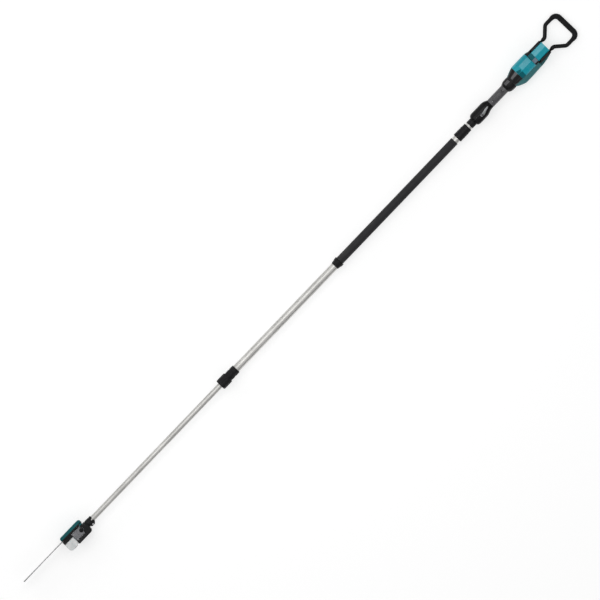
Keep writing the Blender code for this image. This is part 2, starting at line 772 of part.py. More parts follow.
def pole():
    silver = material("pole_aluminium", SILVER, 0.3, 1.0)
    tube("outer_tube", OUTER_TUBE_R, OUTER_TUBE_REAR, 2281 * MM, TUBE_WALL, silver)
    ferrule = [(637.3, 19.8), (640, 20.4), (662, 20.4), (665, 19.8)]
    collar("pole_ferrule", ferrule, BORE_R, black_plastic("ferrule_plastic"))
    sleeve = [(765, 19.8), (767, 20.5), (1532, 20.5), (1533.7, 19.8)]
    collar("grip_sleeve", sleeve, BORE_R, material("sleeve_rubber", (0.03, 0.03, 0.032), 0.7))
    ring = [(1534, 24), (1537, 25), (1544, 25), (1566, 20.2), (1569, 19.6)]
    collar("sleeve_end_ring", ring, BORE_R, black_plastic("end_ring_plastic"))
    inner_silver = material("inner_aluminium", (0.74, 0.74, 0.72), 0.28, 1.0)
    tube("inner_tube", INNER_TUBE_R, INNER_TUBE_REAR, 3226 * MM, TUBE_WALL, inner_silver, 28)
    bush = [(1791, 16), (1793, 16.6), (1828, 16.6), (1830, 16)]
    collar("guide_bush", bush, INNER_TUBE_R + GAP, material("bush_plastic", (0.5, 0.5, 0.48), 0.5), 24)


def hanger():
    """The ribbed collar for the shoulder strap, with a swinging ring under it."""
    outer = [(674, 21.5), (676, 22), (694, 22), (695, 23.3), (703, 23.3), (704, 22.4), (717, 22.6)]
    outer += [(718, 23.6), (726, 23.6), (727, 22.8), (744, 23.5), (747, 22.8)]
    piece = collar("hanger_collar", outer, BORE_R, black_plastic("hanger_plastic"))
    ring_at = Vector((710.5 * MM, 0, -29 * MM))
    lug_low = ring_at + Vector((-6, -4, -6)) * MM
    lug_high = ring_at + Vector((6, 4, 9)) * MM
    lug = box("hanger_lug", lug_low, lug_high, 1 * MM, CUTTERS)
    join(piece, lug)
    eye = rod("lug_eye", 2.9 * MM, -9 * MM, 9 * MM, ring_at, "Y", 12, CUTTERS)
    cut(piece, eye)
    wire = 2 * MM
    half = 15 * MM
    drop = 24 * MM
    corners = [(0, 0, 0), (half, 0, 4 * MM), (half, -drop, 11 * MM), (-half, -drop, 11 * MM), (-half, 0, 4 * MM)]
    corners.append((-1 * MM, 0, 0))
    path = [(0, y, z) for y, z in filleted(corners, 4)]
    ring = sweep("hanger_ring", path, [wire] * len(path), closed=True, sides=2, at=ring_at)
    smooth(ring.data)
    finish(ring, steel("ring_steel"))


def twist_lock():
    """The clamp between the tubes: a fixed neck, a split collet and the barrel that squeezes it."""
    neck = [(2229, 21), (2231, 22.4), (2238, 22.4), (2240, 23.2), (2250, 23.2), (2252, 22), (2259, 22)]
    neck += [(2261, 23.2), (2271, 23.2), (2273, 22.4), (2281, 22.4), (2282.5, 22), (2306, 22)]
    profile = [(along * MM, radius * MM) for along, radius in neck]
    bore = [(2229 * MM, BORE_R), (2282.5 * MM, BORE_R), (2282.5 * MM, 20.6 * MM), (2306 * MM, 20.6 * MM)]
    finish(turned("clamp_neck", profile, bore), black_plastic("neck_plastic"))
    half_slot = radians(5)
    ring = circle(20.2 * MM, steps=28, start=pi / 2 + half_slot, turn=tau - 2 * half_slot)
    ring += circle(INNER_TUBE_R + 0.4 * MM, steps=28, start=pi / 2 - half_slot, turn=2 * half_slot - tau)
    collet = flat("clamp_collet", [ring], 42 * MM, (2305 * MM, 0, 0), "X")
    finish(collet, material("collet_plastic", (0.6, 0.6, 0.58), 0.5))
    outer = [(2283, 25), (2285, 26.6), (2290, 27), (2329, 27), (2333.5, 26.2), (2336, 23.5)]
    profile = [(along * MM, radius * MM) for along, radius in outer]
    inner = [(2283, 22.4), (2308, 22.4), (2308, 20.6), (2328.5, 20.6), (2328.5, 14.2), (2336, 14.2)]
    barrel = turned("lock_barrel", profile, [(along * MM, radius * MM) for along, radius in inner])
    flutes = 6
    for flute in range(flutes):
        angle = tau * (flute + 0.5) / flutes
        centre = (0, 28.6 * MM * cos(angle), 28.6 * MM * sin(angle))
        groove = rod(f"barrel_groove_{flute}", 3.2 * MM, 2291 * MM, 2328 * MM, centre, "X", 8, CUTTERS)
        cut(barrel, groove)
    finish(barrel, black_plastic("barrel_plastic"))


def drive():
    """The telescoping drive: a tube with a six-sided bore, and the six-sided rod that slides in it."""
    length = DRIVE_TUBE_FRONT - DRIVE_TUBE_REAR
    outline = [circle(DRIVE_TUBE_R, steps=18), hexagon(DRIVE_ROD_FLAT + 0.4 * MM)]
    outer = flat("drive_tube", outline, length, (DRIVE_TUBE_REAR + length / 2, 0, 0), "X")
    finish(outer, steel("drive_tube_steel"))
    front = SPROCKET_X - 32 * MM
    length = front - DRIVE_ROD_REAR
    inner = flat("drive_rod", [hexagon(DRIVE_ROD_FLAT)], length, (DRIVE_ROD_REAR + length / 2, 0, 0), "X")
    finish(inner, steel("drive_rod_steel"))
    rod_bush = turned("rod_bush", [(2620 * MM, 11.6 * MM), (2645 * MM, 11.6 * MM)],
                      [(2620 * MM, 5.8 * MM), (2645 * MM, 5.8 * MM)], steps=16)
    finish(rod_bush, material("rod_bush_plastic", (0.5, 0.5, 0.48), 0.5))


# ---------------------------------------------------------------- saw head


def head_clamp():
    """The forked clamp that holds the head on the inner tube, with an ear and its bolt."""
    outer = [(3192, 0), (3192, 17), (3194, 18), (3224, 18.5), (3228.7, 18.5), (3228.7, 0)]
    profile = [(along * MM, radius * MM) for along, radius in outer]
    piece = finish(turned("head_clamp", profile, steps=28), black_plastic("head_clamp_plastic"))
    ear_low = (3197 * MM, 8 * MM, -9.2 * MM)
    ear = box("clamp_ear", ear_low, (3222 * MM, 24.5 * MM, 9.2 * MM), collection=CUTTERS)
    join(piece, ear)
    core = rod("clamp_core", INNER_TUBE_R + GAP, 3180 * MM, 3240 * MM, steps=26, collection=CUTTERS)
    slit_low = (3190 * MM, 10 * MM, -1 * MM)
    slit = box("clamp_slit", slit_low, (3230 * MM, 30 * MM, 1.2 * MM), collection=CUTTERS)
    notch_corners = [(3185, -10), (3203, -1.5), (3203, 1.5), (3185, 10)]
    notch_outline = [(x * MM, y * MM) for x, y in notch_corners]
    notch = flat("fork_notch", [notch_outline], 80 * MM, (0, 0, 40 * MM), "Z", collection=CUTTERS)
    bolt_at = (3209 * MM, 20 * MM, 0)
    bolt_hole = rod("clamp_bolt_hole", 3.1 * MM, -20 * MM, 20 * MM, bolt_at, "Z", 12, CUTTERS)
    cut(piece, core, slit, notch, bolt_hole)
    bolt = [(-10, 0), (-10, 2.4), (9.6, 2.4), (9.6, 4.2), (13, 4.2), (13, 2), (11, 2), (11, 0)]
    profile = [(along * MM, radius * MM) for along, radius in bolt]
    finish(turned("clamp_bolt", profile, (), bolt_at, "Z", 12), steel("bolt_steel"))


def head_body():
    """Black rear housing, cast gear case, the plate behind the bar and the grease plug."""
    low = HEAD_FLOOR
    top = 36 * MM
    height = top - low
    corners = [(3229, -14), (3233, -19), (3244, -19), (3244, 22), (3316, 22), (3316, 38.5), (3240, 38.5)]
    corners += [(3232, 34), (3229, 27)]
    outline = [(x * MM, y * MM) for x, y in corners]
    housing = flat("head_housing", [outline], height, (0, 0, (low + top) / 2), "Z", 2.5 * MM)
    finish(housing, black_plastic("head_plastic"))
    shaft_way = rod("shaft_way", 10 * MM, 3220 * MM, 3250 * MM, steps=20, collection=CUTTERS)
    cut(housing, shaft_way)
    case = box("gear_case", (3244.3 * MM, -19 * MM, -48 * MM), (3316 * MM, 21.7 * MM, 33 * MM), 4 * MM)
    finish(case, material("case_metal", CAST_GREY, 0.5, 0.7))
    shaft = rod("pinion_way", 13 * MM, 3240 * MM, 3256 * MM, steps=20, collection=CUTTERS)
    chamber = rod("gear_chamber", 24 * MM, -15 * MM, 17 * MM, (SPROCKET_X, 0, 0), "Y", 28, CUTTERS)
    spindle = rod("spindle_way", 6 * MM, -25 * MM, 0, (SPROCKET_X, 0, 0), "Y", 16, CUTTERS)
    plug_way = rod("plug_way", 8 * MM, 10 * MM, 40 * MM, (PLUG_X, 0, 0), "Z", 16, CUTTERS)
    cut(case, shaft, chamber, spindle, plug_way)
    plug = [(28, 0), (28, 7.6), (33.4, 7.6), (33.4, 10.5), (38, 10.5), (40, 8), (40, 0)]
    profile = [(along * MM, radius * MM) for along, radius in plug]
    piece = turned("grease_plug", profile, (), (PLUG_X, 0, 0), "Z", 20)
    finish(piece, material("plug_rubber", RUBBER, 0.7))
    plate = box("bar_plate", (3244 * MM, -23 * MM, -50 * MM), (3371 * MM, -19.4 * MM, 30 * MM), 1 * MM)
    finish(plate, black_plastic("plate_paint"))
    lip_low = (3316.4 * MM, -22.5 * MM, -46 * MM)
    lip = box("plate_lip", lip_low, (3370 * MM, -6.5 * MM, 27 * MM), 2 * MM, CUTTERS)
    join(plate, lip)
    way = rod("plate_way", 6 * MM, -30 * MM, -10 * MM, (SPROCKET_X, 0, 0), "Y", 16, CUTTERS)
    cut(plate, way)


def gears():
    """The bevel pair that turns the drive through a right angle, and the chain's drive sprocket."""
    pinion = [(3232.5, 7), (3250, 7), (3250, 9), (3257, 9), (3263, 6)]
    profile = [(along * MM, radius * MM) for along, radius in pinion]
    socket_r = DRIVE_ROD_FLAT / cos(pi / 6) + GAP
    vent_r = 0.5 * MM
    socket_end = 3243.4 * MM
    bore = [(3232.5 * MM, socket_r), (socket_end, socket_r), (socket_end, vent_r), (3263 * MM, vent_r)]
    piece = turned("bevel_pinion", profile, bore, steps=18)
    finish(piece, steel("pinion_steel"))
    spindle = [(-36, 0), (-36, 4), (-20, 4), (-20, 4.8), (9.5, 4.8), (9.5, 21), (13, 21), (15, 12), (15, 0)]
    profile = [(along * MM, radius * MM) for along, radius in spindle]
    finish(turned("bevel_gear", profile, (), (SPROCKET_X, 0, 0), "Y", 24), steel("gear_steel"))
    outline = [toothed(SPROCKET_TEETH, 10.5 * MM, SPROCKET_R), circle(4 * MM + GAP, steps=12)]
    sprocket = flat("drive_sprocket", outline, 5 * MM, (SPROCKET_X, BAR_Y - 0.5 * MM, 0), "Y")
    finish(sprocket, steel("sprocket_steel"))


def bar_outline(grow):
    """The front of the bar's outline in its own plane, grown by a margin: a taper to a round nose."""
    start = NOSE_CENTRE - BAR_TAPER
    lower = []
    for i in range(6):
        share = i / 5
        half = BAR_HALF_HEIGHT + (NOSE_R - BAR_HALF_HEIGHT) * share * share
        lower.append((start + BAR_TAPER * share, -half - grow))
    nose = circle(NOSE_R + grow, (NOSE_CENTRE, 0), 10, -pi / 2, pi)[1:-1]
    return lower + nose + [(x, -z) for x, z in reversed(lower)]


def guide_bar():
    tail_step = BAR_TAIL + 14 * MM
    narrow = 13 * MM
    tail = [(tail_step, BAR_HALF_HEIGHT), (BAR_TAIL, narrow)]
    tail += [(x, -z) for x, z in reversed(tail)]
    slot_r = 4.3 * MM
    slot = circle(slot_r, (BAR_NUT_X + 14 * MM, 0), 8, -pi / 2, pi)
    slot += circle(slot_r, (BAR_NUT_X - 14 * MM, 0), 8, pi / 2, pi)
    bar = flat("guide_bar", [bar_outline(0) + tail, slot], BAR_THICKNESS, (0, BAR_Y, 0), "Y")
    finish(bar, steel("bar_steel"))
    nose_at = (NOSE_CENTRE, BAR_Y, 0)
    pocket = turned("nose_pocket", [(-0.85 * MM, 17 * MM), (0.85 * MM, 17 * MM)],
                    [(-0.85 * MM, 3 * MM), (0.85 * MM, 3 * MM)], nose_at, "Y", 20, CUTTERS)
    cut(bar, pocket)
    outline = [toothed(NOSE_TEETH, 8 * MM, NOSE_SPROCKET_R), circle(3.3 * MM, steps=12)]
    wheel = flat("nose_sprocket", outline, 1.1 * MM, nose_at, "Y")
    finish(wheel, steel("nose_steel"))


def saw_chain():
    """The chain as one closed band round the bar and the drive sprocket."""
    loops = []
    outside = (CHAIN_PLAY + CHAIN_HEIGHT, SPROCKET_R + CHAIN_HEIGHT)
    inside = (CHAIN_PLAY, SPROCKET_R + 0.8 * MM)
    for grow, round_r in (outside, inside):
        body = bar_outline(grow)
        behind = circle(round_r, (SPROCKET_X, 0), 10, radians(80), radians(200))
        onto_bar = BAR_TAIL + 15 * MM
        reach = BAR_HALF_HEIGHT + grow
        loops.append(body + [(onto_bar, reach)] + behind + [(onto_bar, -reach)])
    chain = flat("saw_chain", loops, CHAIN_THICKNESS, (0, BAR_Y, 0), "Y")
    finish(chain, steel("chain_steel"))


def sprocket_cover():
    """The teal cover over the sprocket and the bar's root, open at the front for the bar."""
    low = -54 * MM
    top = 34 * MM
    rear = 3240 * MM
    outer = rounded_rectangle(rear, 3370 * MM, low, top, 24 * MM, 10 * MM)
    outer_y = -46 * MM
    inner_y = -24 * MM
    depth = inner_y - outer_y
    cover = flat("sprocket_cover", [outer], depth, (0, outer_y + depth / 2, 0), "Y", 3 * MM)
    finish(cover, material("head_teal", TEAL_DARK, 0.4))
    inner = rounded_rectangle(rear + 4 * MM, 3380 * MM, low + 4 * MM, top - 4 * MM, 20 * MM, 1 * MM)
    hollow_y = outer_y + 13 * MM + depth / 2
    hollow = flat("cover_hollow", [inner], depth, (0, hollow_y, 0), "Y", collection=CUTTERS)
    pocket = circle(26 * MM, (SPROCKET_X, 0), 24)
    back = flat("cover_pocket", [pocket], 12 * MM, (0, -37 * MM, 0), "Y", collection=CUTTERS)
    stud_way = rod("stud_way", 4.6 * MM, -60 * MM, -20 * MM, (BAR_NUT_X, 0, 0), "Y", 14, CUTTERS)
    nut_seat = rod("nut_seat", 11 * MM, -60 * MM, -40 * MM, (BAR_NUT_X, 0, 0), "Y", 20, CUTTERS)
    cut(cover, hollow, back, stud_way, nut_seat)
    stud = [(-45.5, 0), (-45.5, 8), (-40.3, 8), (-40.3, 3.8), (-24.2, 3.8), (-24.2, 0)]
    profile = [(along * MM, radius * MM) for along, radius in stud]
    finish(turned("bar_nut", profile, (), (BAR_NUT_X, 0, 0), "Y", 6), steel("nut_steel"))


def rounded_rectangle(low_x, high_x, low_z, high_z, rear_r, front_r):
    points = circle(front_r, (high_x - front_r, low_z + front_r), 4, -pi / 2, pi / 2)
    points += circle(front_r, (high_x - front_r, high_z - front_r), 4, 0, pi / 2)
    points += circle(rear_r, (low_x + rear_r, high_z - rear_r), 5, pi / 2, pi / 2)
    points += circle(rear_r, (low_x + rear_r, low_z + rear_r), 5, pi, pi / 2)
    return points


def oil_tank():
    """The translucent oil tank at the front left of the head, and its screw cap."""
    low = HEAD_FLOOR
    top = 26 * MM
    middle = (low + top) / 2
    outer = tank_outline(0)
    tank = flat("oil_tank", [outer], top - low, (0, 0, middle), "Z", 2.5 * MM)
    finish(tank, material("tank_plastic", TANK_WHITE, 0.35))
    inside_outline = [(x, min(y, 24 * MM)) for x, y in tank_outline(2.5 * MM)]
    inside_height = top - low - 5 * MM
    inside = flat("tank_inside", [inside_outline], inside_height, (0, 0, middle), "Z", collection=CUTTERS)
    neck_at = (3343 * MM, 0, -20 * MM)
    neck = rod("tank_neck", 11 * MM, 15 * MM, 45 * MM, neck_at, "Y", 20, CUTTERS)
    recess = rod("cap_recess", 15 * MM, 30 * MM, 50 * MM, neck_at, "Y", 20, CUTTERS)
    cut(tank, inside, neck, recess)
    cap = [(20, 0), (20, 10.4), (30.4, 10.4), (30.4, 13), (33.5, 13), (34.5, 11.5), (34.5, 0)]
    profile = [(along * MM, radius * MM) for along, radius in cap]
    piece = turned("oil_cap", profile, (), neck_at, "Y", 20)
    bar_low = (3333 * MM, 33 * MM, -22 * MM)
    grip_bar = box("cap_grip", bar_low, (3353 * MM, 38 * MM, -18 * MM), collection=CUTTERS)
    join(piece, grip_bar)
    finish(piece, black_plastic("cap_plastic"))


def tank_outline(wall):
    low_x = 3316.6 * MM + wall
    high_x = HEAD_FRONT - 0.6 * MM - wall
    low_y = -6 * MM + wall
    high_y = 37 * MM - wall
    round_r = 14 * MM - wall
    corner = circle(round_r, (high_x - round_r, high_y - round_r), 5, 0, pi / 2)
    return [(high_x, low_y)] + corner + [(low_x, high_y), (low_x, low_y)]


def build():
    guard_loop()
    battery_section()
    half_housing(True, "housing_left", material("left_teal", TEAL_FLANK, 0.45))
    half_housing(False, "housing_right", material("right_teal", TEAL_FLANK, 0.45))
    top_cover()
    front_housing()
    motor()
    grip()
    trigger()
    lock_lever()
    bulb()
    pole()
    hanger()
    twist_lock()
    drive()
    head_clamp()
    head_body()
    gears()
    guide_bar()
    saw_chain()
    sprocket_cover()
    oil_tank()


build()
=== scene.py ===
"""Looks of the telescoping pole saw: fine surfaces, materials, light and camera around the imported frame.

Shapes are drawn in the pole's own frame, in millimetres: x is the distance from the rear end of the guard
loop, y is to the user's left, z is up, and the pole's centre line is y = z = 0.
"""

import json
from math import atan2, copysign, cos, degrees, exp, hypot, pi, radians, sin, tau

import bmesh
import bpy
import numpy as np
from mathutils import Matrix, Vector

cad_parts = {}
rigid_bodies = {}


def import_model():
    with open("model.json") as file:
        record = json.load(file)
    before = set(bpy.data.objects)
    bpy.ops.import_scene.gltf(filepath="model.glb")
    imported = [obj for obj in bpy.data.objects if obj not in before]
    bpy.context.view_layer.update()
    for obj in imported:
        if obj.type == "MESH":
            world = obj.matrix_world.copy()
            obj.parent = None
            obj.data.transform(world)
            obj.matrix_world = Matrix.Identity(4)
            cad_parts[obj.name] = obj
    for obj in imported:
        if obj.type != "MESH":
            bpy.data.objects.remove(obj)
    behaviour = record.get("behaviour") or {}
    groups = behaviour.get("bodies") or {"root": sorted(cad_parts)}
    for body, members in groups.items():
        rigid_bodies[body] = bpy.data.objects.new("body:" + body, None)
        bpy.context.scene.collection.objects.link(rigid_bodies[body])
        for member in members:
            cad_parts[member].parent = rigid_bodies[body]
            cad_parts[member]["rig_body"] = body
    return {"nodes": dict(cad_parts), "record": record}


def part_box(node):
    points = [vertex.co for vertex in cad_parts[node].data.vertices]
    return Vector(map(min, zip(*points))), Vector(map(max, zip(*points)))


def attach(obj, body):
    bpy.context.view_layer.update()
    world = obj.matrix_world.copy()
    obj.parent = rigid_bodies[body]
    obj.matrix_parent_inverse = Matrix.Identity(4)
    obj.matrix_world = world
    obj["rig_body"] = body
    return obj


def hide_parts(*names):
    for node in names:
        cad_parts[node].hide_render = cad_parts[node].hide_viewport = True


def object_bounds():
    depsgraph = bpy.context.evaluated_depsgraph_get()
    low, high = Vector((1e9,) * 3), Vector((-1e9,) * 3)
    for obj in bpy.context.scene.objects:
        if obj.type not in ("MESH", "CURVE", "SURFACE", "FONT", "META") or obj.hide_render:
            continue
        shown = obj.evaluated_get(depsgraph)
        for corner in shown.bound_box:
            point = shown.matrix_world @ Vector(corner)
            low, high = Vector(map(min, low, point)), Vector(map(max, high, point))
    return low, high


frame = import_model()
CAD_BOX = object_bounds()

MM = 0.001
SLOT_OF = {row["node"]: row.get("material_slot") for row in frame["record"]["subparts"]}
REAR = CAD_BOX[0].x
AXIS_Z = (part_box("outer_tube")[0].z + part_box("outer_tube")[1].z) / 2
POLE = Matrix.Translation((REAR, 0, AXIS_Z)) @ Matrix.Scale(MM, 4)
SCENE = bpy.context.scene


def reach(node):
    """The lowest and highest corners of a CAD node in the pole's frame."""
    low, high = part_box(node)
    inverse = POLE.inverted()
    return inverse @ low, inverse @ high


def span(node):
    """Where a CAD node begins and ends along the pole."""
    low, high = reach(node)
    return low.x, high.x


def centre_of(node):
    low, high = reach(node)
    return (low + high) / 2


def middle_x(node):
    """The middle of a CAD node along the pole."""
    low, high = span(node)
    return (low + high) / 2


# ---------------------------------------------------------------- camera, floor and light

VIEW_CENTRE = Vector((-0.0195, -0.007, AXIS_Z))
VIEW_UP = Vector((-0.7218, -0.692, 0)).normalized()
VIEW_WIDTH = 2.785
VIEW_DISTANCE = 60.0
SENSOR = 36.0
SKY_STRENGTH = 0.72
# The sky's two stops: height on the ramp, and colour.
HORIZON = (0.1, (0.07, 0.07, 0.073))
ZENITH = (0.93, (1, 1, 1))
# Each light: name, place, size and power.
LIGHTS = (
    ("key_light", (-0.2, -0.9, 3.2), (4.8, 2.2), 38),
    ("side_light", (0, -3.4, 1.7), (5.2, 1.6), 26),
    ("fill_light", (0.2, 3.0, 2.4), (4.5, 1.4), 6),
)


def camera():
    data = bpy.data.cameras.new("camera")
    data.sensor_width = SENSOR
    data.lens = SENSOR * VIEW_DISTANCE / VIEW_WIDTH
    data.clip_end = 100
    obj = bpy.data.objects.new("camera", data)
    right = VIEW_UP.cross(Vector((0, 0, 1)))
    turn = Matrix((right, VIEW_UP, (0, 0, 1))).transposed().to_4x4()
    obj.matrix_world = Matrix.Translation(VIEW_CENTRE + Vector((0, 0, VIEW_DISTANCE))) @ turn
    SCENE.collection.objects.link(obj)
    SCENE.camera = obj


def area_light(name, at, size, power):
    """A rectangular light that faces the middle of the tool."""
    data = bpy.data.lights.new(name, "AREA")
    data.shape = "RECTANGLE"
    data.size, data.size_y = size
    data.energy = power
    obj = bpy.data.objects.new(name, data)
    obj.location = at
    obj.rotation_euler = Vector(at).to_track_quat("Z", "Y").to_euler()
    SCENE.collection.objects.link(obj)


def surroundings():
    """A white sky that darkens towards the horizon, and the soft lights."""
    world = bpy.data.worlds.new("studio")
    world.use_nodes = True
    SCENE.world = world
    tree = world.node_tree
    background = tree.nodes["Background"]
    background.inputs["Strength"].default_value = SKY_STRENGTH
    where = tree.nodes.new("ShaderNodeTexCoord")
    parts = tree.nodes.new("ShaderNodeSeparateXYZ")
    ramp = tree.nodes.new("ShaderNodeValToRGB")
    for stop, (height, tone) in zip(ramp.color_ramp.elements, (HORIZON, ZENITH)):
        stop.position = height
        stop.color = (*tone, 1)
    tree.links.new(where.outputs["Generated"], parts.inputs[0])
    tree.links.new(parts.outputs["Z"], ramp.inputs[0])
    tree.links.new(ramp.outputs[0], background.inputs["Color"])
    for light in LIGHTS:
        area_light(*light)
    SCENE.view_settings.view_transform = "Standard"


def floor():
    mesh = bpy.data.meshes.new("floor")
    form = bmesh.new()
    bmesh.ops.create_grid(form, x_segments=1, y_segments=1, size=40)
    form.to_mesh(mesh)
    form.free()
    obj = bpy.data.objects.new("floor", mesh)
    mat = bpy.data.materials.new("floor")
    mat.use_nodes = True
    shader = mat.node_tree.nodes["Principled BSDF"]
    shader.inputs["Base Color"].default_value = (0.5, 0.5, 0.5, 1)
    shader.inputs["Roughness"].default_value = 0.9
    shader.inputs["Emission Color"].default_value = (1, 1, 1, 1)
    shader.inputs["Emission Strength"].default_value = 0.62
    mesh.materials.append(mat)
    SCENE.collection.objects.link(obj)


# ---------------------------------------------------------------- materials


def linear(*rgb):
    """A display colour, 0 to 255 a channel, as the linear colour a shader takes."""
    return tuple((c / 255) ** 2.2 for c in rgb)


# The pointiness over which an edge goes from whole to rubbed.
RUBBED = (0.53, 0.62)


class Coat:
    """A procedural material: blotches of tone, fine surface grain, worn edges and uneven gloss."""

    def __init__(self, name, colour, rough, metallic=0.0):
        self.made = bpy.data.materials.new(name)
        self.made.use_nodes = True
        self.tree = self.made.node_tree
        self.shader = self.tree.nodes["Principled BSDF"]
        self.shader.inputs["Metallic"].default_value = metallic
        self.where = self.node("ShaderNodeTexCoord").outputs["Object"]
        self.colour = self.blotches(colour)
        self.rough = rough
        self.bump = None

    def node(self, kind, **inputs):
        made = self.tree.nodes.new(kind)
        for name, value in inputs.items():
            made.inputs[name].default_value = value
        return made

    def link(self, source, target):
        self.tree.links.new(source, target)

    def blotches(self, colour):
        """Two close tones of the colour in soft blotches."""
        noise = self.noise(9, 3, (1, 1, 1))
        return self.mix(noise, [c * 0.90 for c in colour], [min(1, c * 1.10) for c in colour], 0.35, 0.65)

    def texture(self, kind, stretch, **inputs):
        """A texture node laid over the piece, stretched along its axes."""
        mapping = self.node("ShaderNodeMapping", Scale=stretch)
        self.link(self.where, mapping.inputs["Vector"])
        made = self.node(kind, **inputs)
        self.link(mapping.outputs[0], made.inputs["Vector"])
        return made

    def noise(self, scale, detail, stretch):
        return self.texture("ShaderNodeTexNoise", stretch, Scale=scale, Detail=detail).outputs["Fac"]

    def ranged(self, value, low, high, to_low=0.0, to_high=1.0):
        made = self.node("ShaderNodeMapRange")
        for i, number in enumerate((low, high, to_low, to_high)):
            made.inputs[i + 1].default_value = number
        self.link(value, made.inputs[0])
        return made.outputs[0]

    def mix(self, factor, first, second, low=0.0, high=1.0):
        mixer = self.node("ShaderNodeMix")
        mixer.data_type = "RGBA"
        self.link(self.ranged(factor, low, high), mixer.inputs["Factor"])
        for socket, colour in ((mixer.inputs[6], first), (mixer.inputs[7], second)):
            if isinstance(colour, bpy.types.NodeSocket):
                self.link(colour, socket)
            else:
                socket.default_value = (*colour, 1)
        return mixer.outputs[2]

    def product(self, a, b):
        made = self.node("ShaderNodeMath")
        made.operation = "MULTIPLY"
        self.link(a, made.inputs[0])
        self.link(b, made.inputs[1])
        return made.outputs[0]

    def relief(self, height, depth):
        """Surface relief on top of what is there: depth is in millimetres."""
        made = self.node("ShaderNodeBump", Strength=1.0, Distance=depth * MM)
        self.link(height, made.inputs["Height"])
        if self.bump is not None:
            self.link(self.bump, made.inputs["Normal"])
        self.bump = made.outputs[0]
        return self

    def grain(self, scale, depth, stretch=(1, 1, 1), detail=2):
        return self.relief(self.noise(scale, detail, stretch), depth)

    def cells(self, scale, depth, stretch=(1, 1, 1)):
        """A leathery moulded texture."""
        cell = self.texture("ShaderNodeTexVoronoi", stretch, Scale=scale)
        return self.relief(cell.outputs["Distance"], depth)

    def streaks(self, scale, stretch, colour, amount):
        """Streaks or specks of another tone."""
        fleck = self.ranged(self.noise(scale, 4, stretch), 0.56, 0.72, 0, amount)
        self.colour = self.mix(fleck, self.colour, colour)
        return self

    def worn(self, colour, amount=0.6):
        """Edges rubbed to a lighter tone, in patches."""
        geometry = self.node("ShaderNodeNewGeometry")
        edge = self.ranged(geometry.outputs["Pointiness"], *RUBBED, 0, amount)
        patch = self.ranged(self.noise(60, 3, (1, 1, 1)), 0.35, 0.6)
        self.colour = self.mix(self.product(edge, patch), self.colour, colour)
        return self

    def done(self, spread=0.08, **sockets):
        """Links what was set; sockets are constants of the shader."""
        patches = self.noise(40, 4, (1, 1, 1))
        gloss = self.ranged(patches, 0.3, 0.7, self.rough - spread, self.rough + spread)
        self.link(self.colour, self.shader.inputs["Base Color"])
        self.link(gloss, self.shader.inputs["Roughness"])
        if self.bump is not None:
            self.link(self.bump, self.shader.inputs["Normal"])
        for name, value in sockets.items():
            self.shader.inputs[name.replace("_", " ")].default_value = value
        return self.made


def moulded(name, colour, rough, lighter, grain_depth, **sockets):
    """Moulded plastic: a spark-eroded grain, faint handling marks and rubbed edges."""
    coat = Coat(name, linear(*colour), rough)
    coat.grain(900, grain_depth).grain(70, 0.12)
    coat.streaks(55, (0.4, 1, 1), linear(*lighter), 0.25)
    coat.worn(linear(*lighter))
    return coat.done(**sockets)


def brushed(name, colour, rough, darker, stretch, depth=0.012):
    """Metal with fine lines along one direction and faint smudges."""
    coat = Coat(name, linear(*colour), rough, 1.0)
    coat.grain(500, depth, stretch, 3)
    coat.streaks(260, stretch, linear(*darker), 0.35)
    coat.streaks(14, (1, 1, 1), linear(*darker), 0.18)
    return coat.done(0.07)


# Plastics: display colour, roughness, tone of the rubbed edges, depth of the grain in millimetres, and
# the shader's specular level and clear coat where they are set.
MOULDED = {
    "teal_plastic": ((0, 152, 169), 0.32, (80, 180, 192), 0.02, 0.3, 0.1),
    # The teal painted lighter: a painted highlight for the level facets of the rear cap and the top cover.
    "teal_painted_highlight": ((68, 169, 185), 0.3, (130, 200, 210), 0.02, 0.35, 0.15),
    # The teal painted darker: painted shade for the notch, the left of the cover's sloping front and the
    # dark sheet on its brow.
    "teal_painted_shade": ((0, 99, 109), 0.42, (30, 110, 120), 0.03, 0.15, None),
    # The teal painted darker and greyer: painted shade on the housing's left flank, which faces away from
    # the light.
    "flank_plastic": ((54, 114, 118), 0.45, (88, 140, 142), 0.05, 0.3, None),
    "head_teal": ((14, 86, 90), 0.42, (40, 112, 116), 0.04, 0.15, None),
    "black_plastic": ((20, 20, 22), 0.44, (64, 64, 66), 0.06, 0.22, None),
    "glossy_black": ((12, 12, 14), 0.3, (56, 56, 58), 0.015, 0.2, None),
    "grey_plastic": ((72, 71, 74), 0.36, (100, 100, 103), 0.06, 0.6, None),
    "notch_grey": ((112, 128, 142), 0.5, (140, 146, 150), 0.04, None, None),
    "bush_plastic": ((214, 211, 202), 0.45, (235, 232, 226), 0.03, None, None),
}
# Metals: display colour, roughness, tone of the smudges, stretch of the lines, and their depth in
# millimetres where it is set.
BRUSHED = {
    "contact": ((206, 178, 120), 0.3, (150, 120, 70), (1, 1, 0.05)),
    "tube_aluminium": ((200, 199, 196), 0.4, (160, 159, 156), (0.02, 1, 1)),
    "panel_metal": ((142, 143, 145), 0.36, (96, 96, 98), (0.05, 1, 1)),
    "steel": ((176, 176, 177), 0.33, (110, 108, 106), (0.06, 1, 1), 0.02),
    "turned_steel": ((170, 170, 172), 0.3, (105, 104, 102), (1, 1, 1), 0.02),
}


